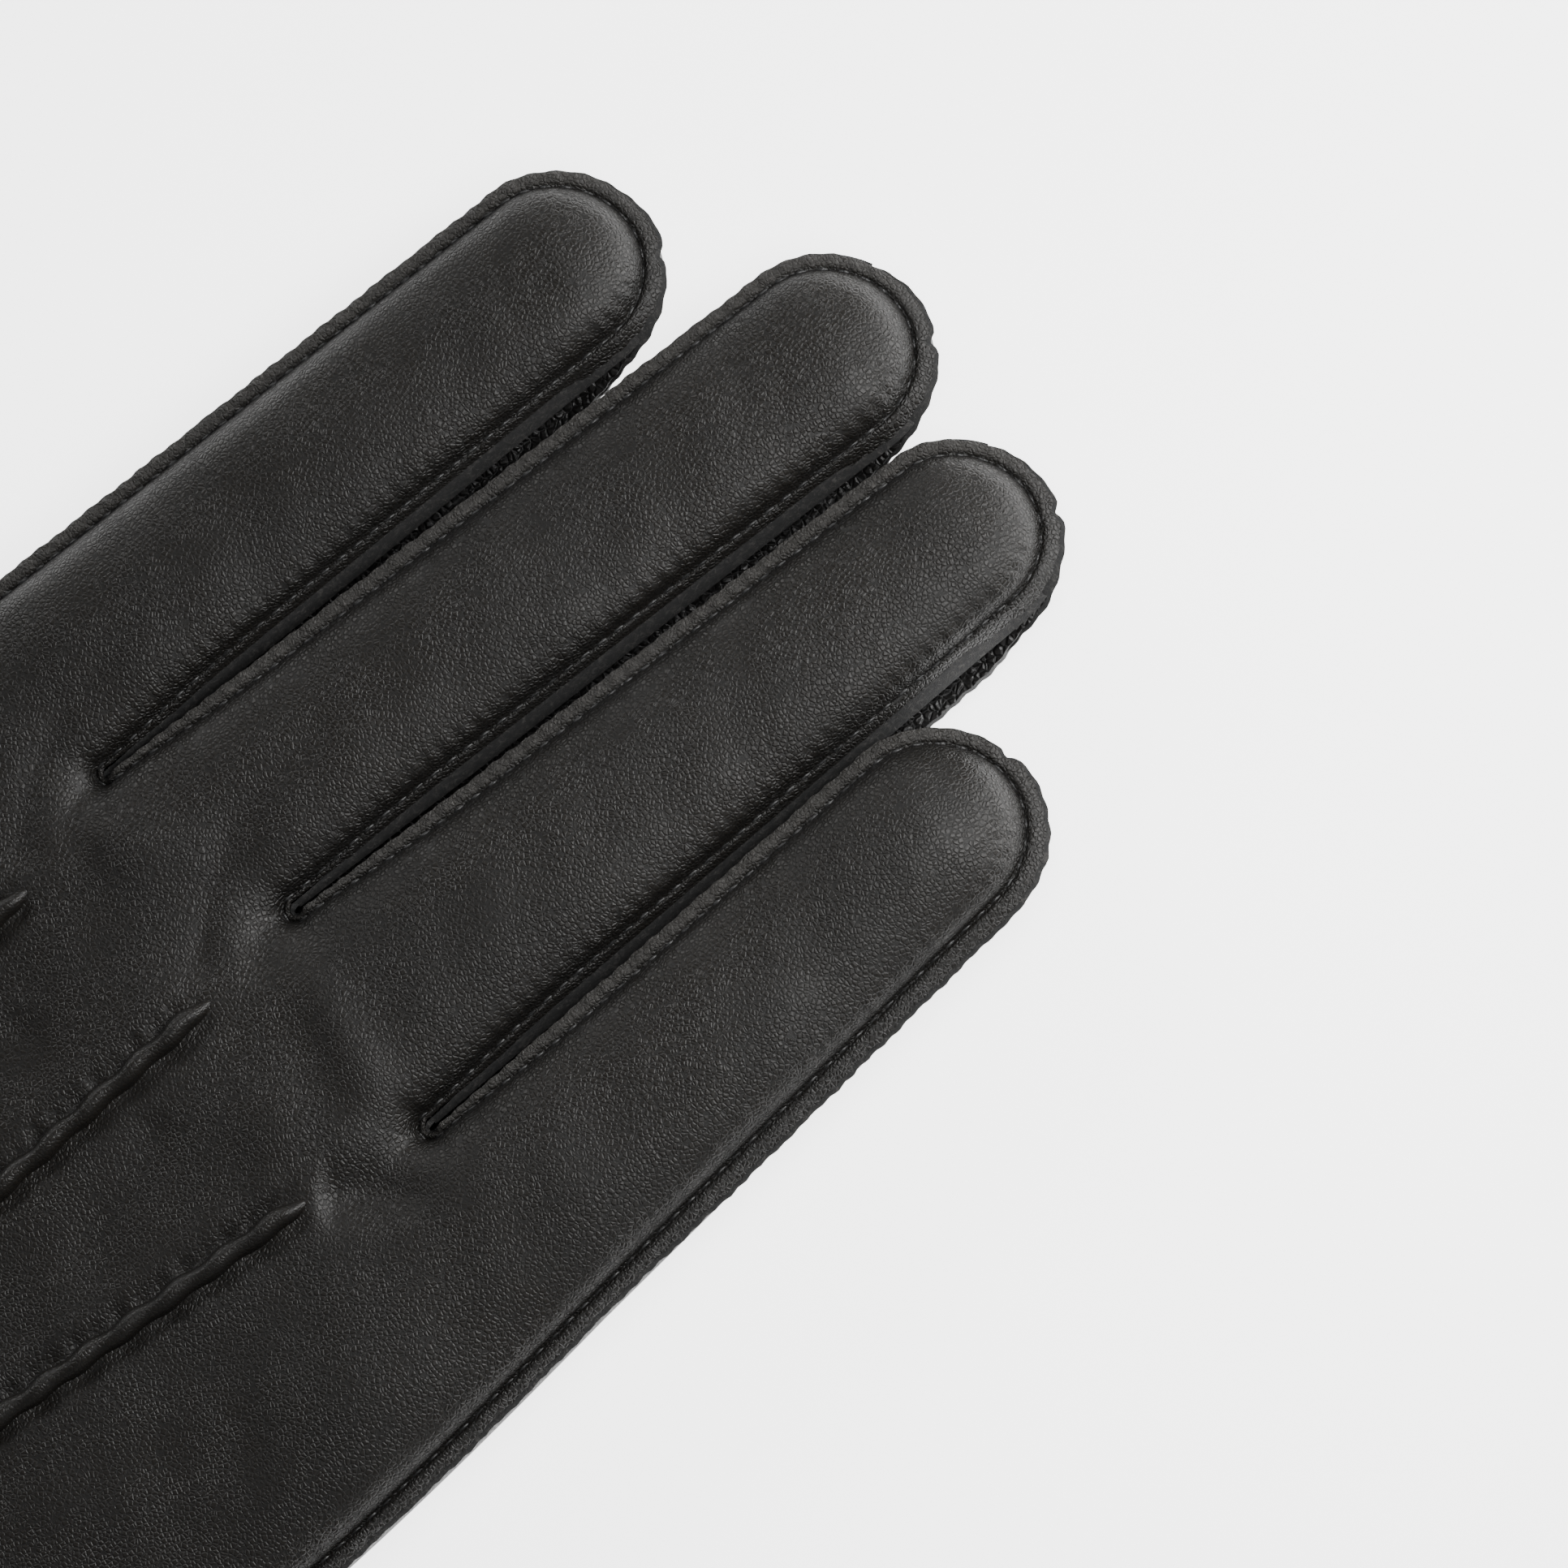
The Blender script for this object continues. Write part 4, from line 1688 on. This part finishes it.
@dataclass
class Cuff:
    """The turned hem, the elastic at the wrist and the size label."""

    bench: Workbench
    depth: float = 12.0
    roll: float = 0.85

    def hem(self, back: Panel, palm: Panel) -> None:
        """The hem: the cuff's edge rolled over and laid flat inside for its depth.

        A loop of the last rows of both panels is carried along a profile of half a turn and a straight run
        in.

        Args:
            back: The back panel.
            palm: The palm panel.
        """
        loops = []
        for panel, sign in ((back, 1.0), (palm, -1.0)):
            rows = panel.shell[-3:]
            normal = unit(np.cross(np.gradient(rows, axis=1), np.gradient(rows, axis=0)))[-1]
            normal = -normal if normal[len(normal) // 2, 2] * sign < 0 else normal
            points = rows[-1]
            loops.append((points[:, :], normal) if sign > 0 else (points[::-1], normal[::-1]))
        points = np.concatenate([loops[0][0], loops[1][0], loops[0][0][:1]])
        normals = np.concatenate([loops[0][1], loops[1][1], loops[0][1][:1]])
        angle = np.linspace(-0.15, 1.0, 9) * math.pi
        mid = -self.bench.relief.leather / 2 - 0.25
        level = np.concatenate([mid + self.roll * np.cos(angle), np.full(10, mid - self.roll)])
        along = np.concatenate([-0.55 * np.sin(angle), np.linspace(0.8, self.depth, 10)])
        grid = points[:, None] + normals[:, None] * level[None, :, None]
        grid = grid + np.array([0.0, 1.0, 0.0]) * along[None, :, None]
        grid[..., 2] = np.maximum(grid[..., 2], 0.0)
        skin = Skin(0.5)
        skin.add(grid, 0, 0.0, True)
        skin.finish()
        f = self.bench.finishes
        piece = skin.part(0, "cuff_hem_leather", f.palm, f.flesh, f.edge)
        self.bench.finish_piece(piece, hand_stretch(0, "hand"), "palm_leather", ["cuff_hem"])

    def elastic(self) -> None:
        """A narrow elastic behind the palm leather at the wrist, drawn up into small waves."""
        low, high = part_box("wrist_elastic")
        x = np.linspace(low.x, high.x, 180)[:, None] / MM
        v = np.linspace(0, 1, 5)[None]
        y = (low.y + (high.y - low.y) * v) / MM + 0 * x
        z = high.z / MM + 0.12 * np.sin(x * 2.1) * (1 - 0.4 * np.abs(2 * v - 1)) + 0.15
        skin = Skin(0.4, cloth=True)
        skin.add(np.stack([x + 0 * y, y, z + 0 * y], axis=2), 0, 0.0, True)
        skin.finish()
        m = self.bench.finishes.elastic
        piece = skin.part(0, "wrist_elastic_band", m, m, m)
        self.bench.finish_piece(piece, hand_stretch(0, "hand"), "elastic", ["wrist_elastic"])

    def label(self) -> None:
        """A blank woven label under the top of the lining, bowed a little between its sewn ends."""
        low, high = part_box("size_label")
        u = np.linspace(-1, 1, 25)[:, None]
        v = np.linspace(-1, 1, 17)[None]
        middle = (np.array(low) + np.array(high)) / 2 / MM
        half = (np.array(high) - np.array(low)) / 2 / MM
        corner = 1 - 0.02 * (u * v) ** 6
        x = middle[0] + half[0] * u * corner + 0 * v
        y = middle[1] + half[1] * v * corner + 0 * u
        z = high.z / MM - 0.25 * (1 - u ** 2) * (1 - 0.3 * v ** 2) - 0.1
        skin = Skin(0.3, cloth=True)
        skin.add(np.stack([x, y, z + 0 * x], axis=2), 0, 0.0, True)
        skin.finish()
        m = self.bench.finishes.label
        piece = skin.part(0, "size_label_tab", m, m, m)
        self.bench.finish_piece(piece, hand_stretch(0, "hand"), "label", ["size_label"])


@dataclass
class KnitLining:
    """The knit lining: a bag in the hand and a stocking in every digit."""

    bench: Workbench
    inset: float = 1.55
    thickness: float = 0.8
    around: int = 40

    def bag(self, back: Panel, palm: Panel) -> None:
        """The hand's bag: both panels' insides, moved in along their own outward direction.

        Args:
            back: The back panel.
            palm: The palm panel.
        """
        sheets = []
        for panel, sign in ((back, 1.0), (palm, -1.0)):
            rows = panel.shell
            y = rows[:, 0, 1]
            rows = rows[(y > self.bench.plan.cuff + 9) & (y < 60)][::4, ::2]
            normal = unit(np.cross(np.gradient(rows, axis=1), np.gradient(rows, axis=0)))
            normal = normal * np.sign(normal[..., 2:].mean()) * sign
            sheets.append(rows - normal * (self.inset + 0.15))
        loop = np.concatenate([sheets[0], sheets[1][:, ::-1], sheets[0][:, :1]], axis=1)
        skin = Skin(self.thickness, cloth=True)
        skin.add(loop, 0, 0.0, False)
        skin.finish()
        self.close(skin, "lining_hand", hand_stretch(0, "hand"), "hand_lining", loop[len(loop) // 2])

    def close(self, skin: Skin, name: str, stretch: Stretch, node: str, ring: Array) -> None:
        """Args:
            skin: The finished skin that holds the piece.
            name: The piece's name.
            stretch: What the piece follows.
            node: The CAD node it stands for.
            ring: Places once round the tube; its length is the flat width.
        """
        knit = self.bench.finishes.knit
        piece = skin.part(stretch.label, name, knit, knit, knit)
        self.bench.finish_piece(piece, stretch, "knit_lining", [node])
        areas = np.empty(len(piece.data.polygons))
        piece.data.polygons.foreach_get("area", areas)

    def stocking(self, d: Digit, base: int, stretches: list[Stretch], low: float) -> None:
        """One digit's stocking: rounded sections along its centre line, closing in a round end.

        A section is a superellipse of power 2.6. Half widths follow the leather, less an inset; beyond the
        straight part both half sizes shrink as a quarter circle.

        Args:
            d: The digit.
            base: The label of its lower part.
            stretches: Its two stretches.
            low: Where the stocking starts along the digit.
        """
        inset = self.inset + 1.2
        radius = d.tip_width / 2 - inset
        dome = radius * np.sin(np.linspace(0.1, 0.5 * math.pi, 12))
        s = np.concatenate([np.linspace(low, d.straight, 70), d.straight + dome])
        end = np.sqrt(np.clip(1 - (np.maximum(s - d.straight, 0) / radius) ** 2, 0, 1))
        width = d.root_width + (d.tip_width - d.root_width) * np.clip(s, 0, d.straight) / d.straight
        half = (width / 2 - inset) * end
        tall = 3.9 * (1 - 0.3 * smooth(s, d.straight - 12, d.straight)) * end
        angle = np.linspace(0, 2 * math.pi, self.around + 1)
        c, q = np.cos(angle)[None], np.sin(angle)[None]
        power = 2 / 2.6
        t = half[:, None] * np.sign(c) * np.abs(c) ** power
        middle = 5.7 - 0.9 * smooth(s, d.straight - 12, d.straight)[:, None]
        z = middle + tall[:, None] * np.sign(q) * np.abs(q) ** power
        xy = d.origin + t[..., None] * d.across + s[:, None, None] * d.along
        grid = np.concatenate([xy, z[..., None]], axis=2)
        if d.name == "thumb":
            outside = self.bench.plan.index_side(grid[..., 1]) - grid[..., 0]
            squeezed = grid[..., 2] * (0.60 + 0.40 * smooth(outside, 0, 15))
            grid[..., 2] = 1.4 * (1 - smooth(outside, 0, 12)) + squeezed
        labels = np.where(0.5 * (s[1:] + s[:-1]) < d.split, base, base + 1)
        skin = Skin(self.thickness, cloth=True)
        skin.add(grid, labels[:, None], 0.0, False)
        skin.finish()
        for stretch in stretches:
            self.close(skin, f"lining_{stretch.name}", stretch, f"{stretch.name}_lining", grid[0])

    def build(self, back: Panel, palm: Panel) -> None:
        """Builds the bag and every stocking."""
        self.bag(back, palm)
        plan, bench = self.bench.plan, self.bench
        for k, d in enumerate(plan.fingers):
            self.stocking(d, 1 + 2 * k, bench.finger_stretches[2 * k:2 * k + 2], 3.0)
        self.stocking(plan.thumb, Part.THUMB_BASE.value, bench.thumb_stretches, 26.0)


# ------------------------------------------------------------------ studio


@dataclass
class Studio:
    """Pale floor, soft lights and a long camera leaning a little to the little-finger side."""

    lean: tuple[float, float, float] = (0.215, 0.070, 0.974)
    aim: tuple[float, float, float] = (18.5, 124.5, 12.0)
    across: tuple[float, float, float] = (0.6361, 0.7716, 0.0)
    frame_width: float = 146.1
    distance: float = 1.4
    sensor: float = 36.0

    def axes(self) -> tuple[Vector, Vector, Vector]:
        """The camera's right, up and backward directions."""
        back = Vector(self.lean).normalized()
        right = Vector(self.across)
        right = (right - back * right.dot(back)).normalized()
        return right, back.cross(right), back

    def camera(self) -> None:
        """A camera of long focal length whose frame covers the frame width at the aim point."""
        right, up, back = self.axes()
        data = bpy.data.cameras.new("camera")
        data.sensor_width = self.sensor
        data.lens = self.sensor * self.distance / (self.frame_width * MM)
        data.clip_end = 10.0
        camera = bpy.data.objects.new("camera", data)
        spot = Vector(self.aim) * MM + back * self.distance
        turn = Matrix((right, up, back)).transposed().to_4x4()
        camera.matrix_world = Matrix.Translation(spot) @ turn
        bpy.context.scene.collection.objects.link(camera)
        bpy.context.scene.camera = camera

    def light(self, name: str, side: float, rise: float, height: float, size: tuple[float, float],
              power: float) -> None:
        """A soft box facing the glove.

        Args:
            name: The light's name.
            side: Metres to the camera's right.
            rise: Metres towards the top of the camera's frame.
            height: Metres above the glove.
            size: Width and height of the box in metres.
            power: Watts.
        """
        right, up, _ = self.axes()
        aim = Vector(self.aim) * MM
        data = bpy.data.lights.new(name, "AREA")
        data.shape = "RECTANGLE"
        data.size, data.size_y = size
        data.energy = power
        lamp = bpy.data.objects.new(name, data)
        spot = aim + right * side + up * rise + Vector((0, 0, height))
        turn = (aim - spot).to_track_quat("-Z", "Y").to_matrix().to_4x4()
        lamp.matrix_world = Matrix.Translation(spot) @ turn
        bpy.context.scene.collection.objects.link(lamp)

    def floor(self) -> None:
        """A wide floor with a very slight unevenness, in matt white."""
        n = 33
        line = np.linspace(-3, 3, n)
        x, y = np.meshgrid(line, line)
        z = -0.0002 - 0.002 * (np.hypot(x, y) / 3) ** 2
        points = np.stack([x, y, z], axis=2).reshape(-1, 3) / MM
        material = bpy.data.materials.new("Floor paper")
        material.use_nodes = True
        shader = material.node_tree.nodes["Principled BSDF"]
        shader.inputs["Base Color"].default_value = (0.93, 0.93, 0.93, 1)
        shader.inputs["Emission Color"].default_value = (1.0, 1.0, 1.0, 1)
        shader.inputs["Emission Strength"].default_value = 3.2
        shader.inputs["Roughness"].default_value = 0.9
        shader.inputs["Specular IOR Level"].default_value = 0.1
        put_mesh("floor", points, grid_faces(n, n, False), None, None, [material], {})

    def build(self) -> None:
        """Sets up the camera, the lights, the sky and the floor."""
        self.camera()
        self.floor()
        self.light("key_right", 0.34, 0.17, 0.19, (0.20, 0.30), 2.1)
        self.light("top_soft", 0.075, 0.015, 0.20, (0.12, 0.12), 0.52)
        self.light("rim_top_left", -0.7, 0.75, 0.22, (0.8, 0.2), 5.0)
        world = bpy.data.worlds.new("studio")
        world.use_nodes = True
        world.node_tree.nodes["Background"].inputs["Color"].default_value = (1.0, 1.0, 1.0, 1)
        world.node_tree.nodes["Background"].inputs["Strength"].default_value = 0.22
        bpy.context.scene.world = world


# ------------------------------------------------------------------ the whole glove


def main() -> None:
    """Builds the studio and then every sub-assembly of the glove."""
    logging.basicConfig(level=logging.INFO, format="%(name)s: %(message)s")
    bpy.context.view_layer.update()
    bench = Workbench(Plan(), Relief(), Finishes())
    Studio().build()
    back, palm = HandLeather(bench).build()
    SideStrips(bench).build(palm)
    SewnPoints(bench).build()
    thumb = ThumbLeather(bench).build()
    Stitching(bench).build((back, palm), thumb)
    cuff = Cuff(bench)
    cuff.hem(back, palm)
    cuff.elastic()
    cuff.label()
    KnitLining(bench).build(back, palm)


if __name__ == "__main__":
    main()
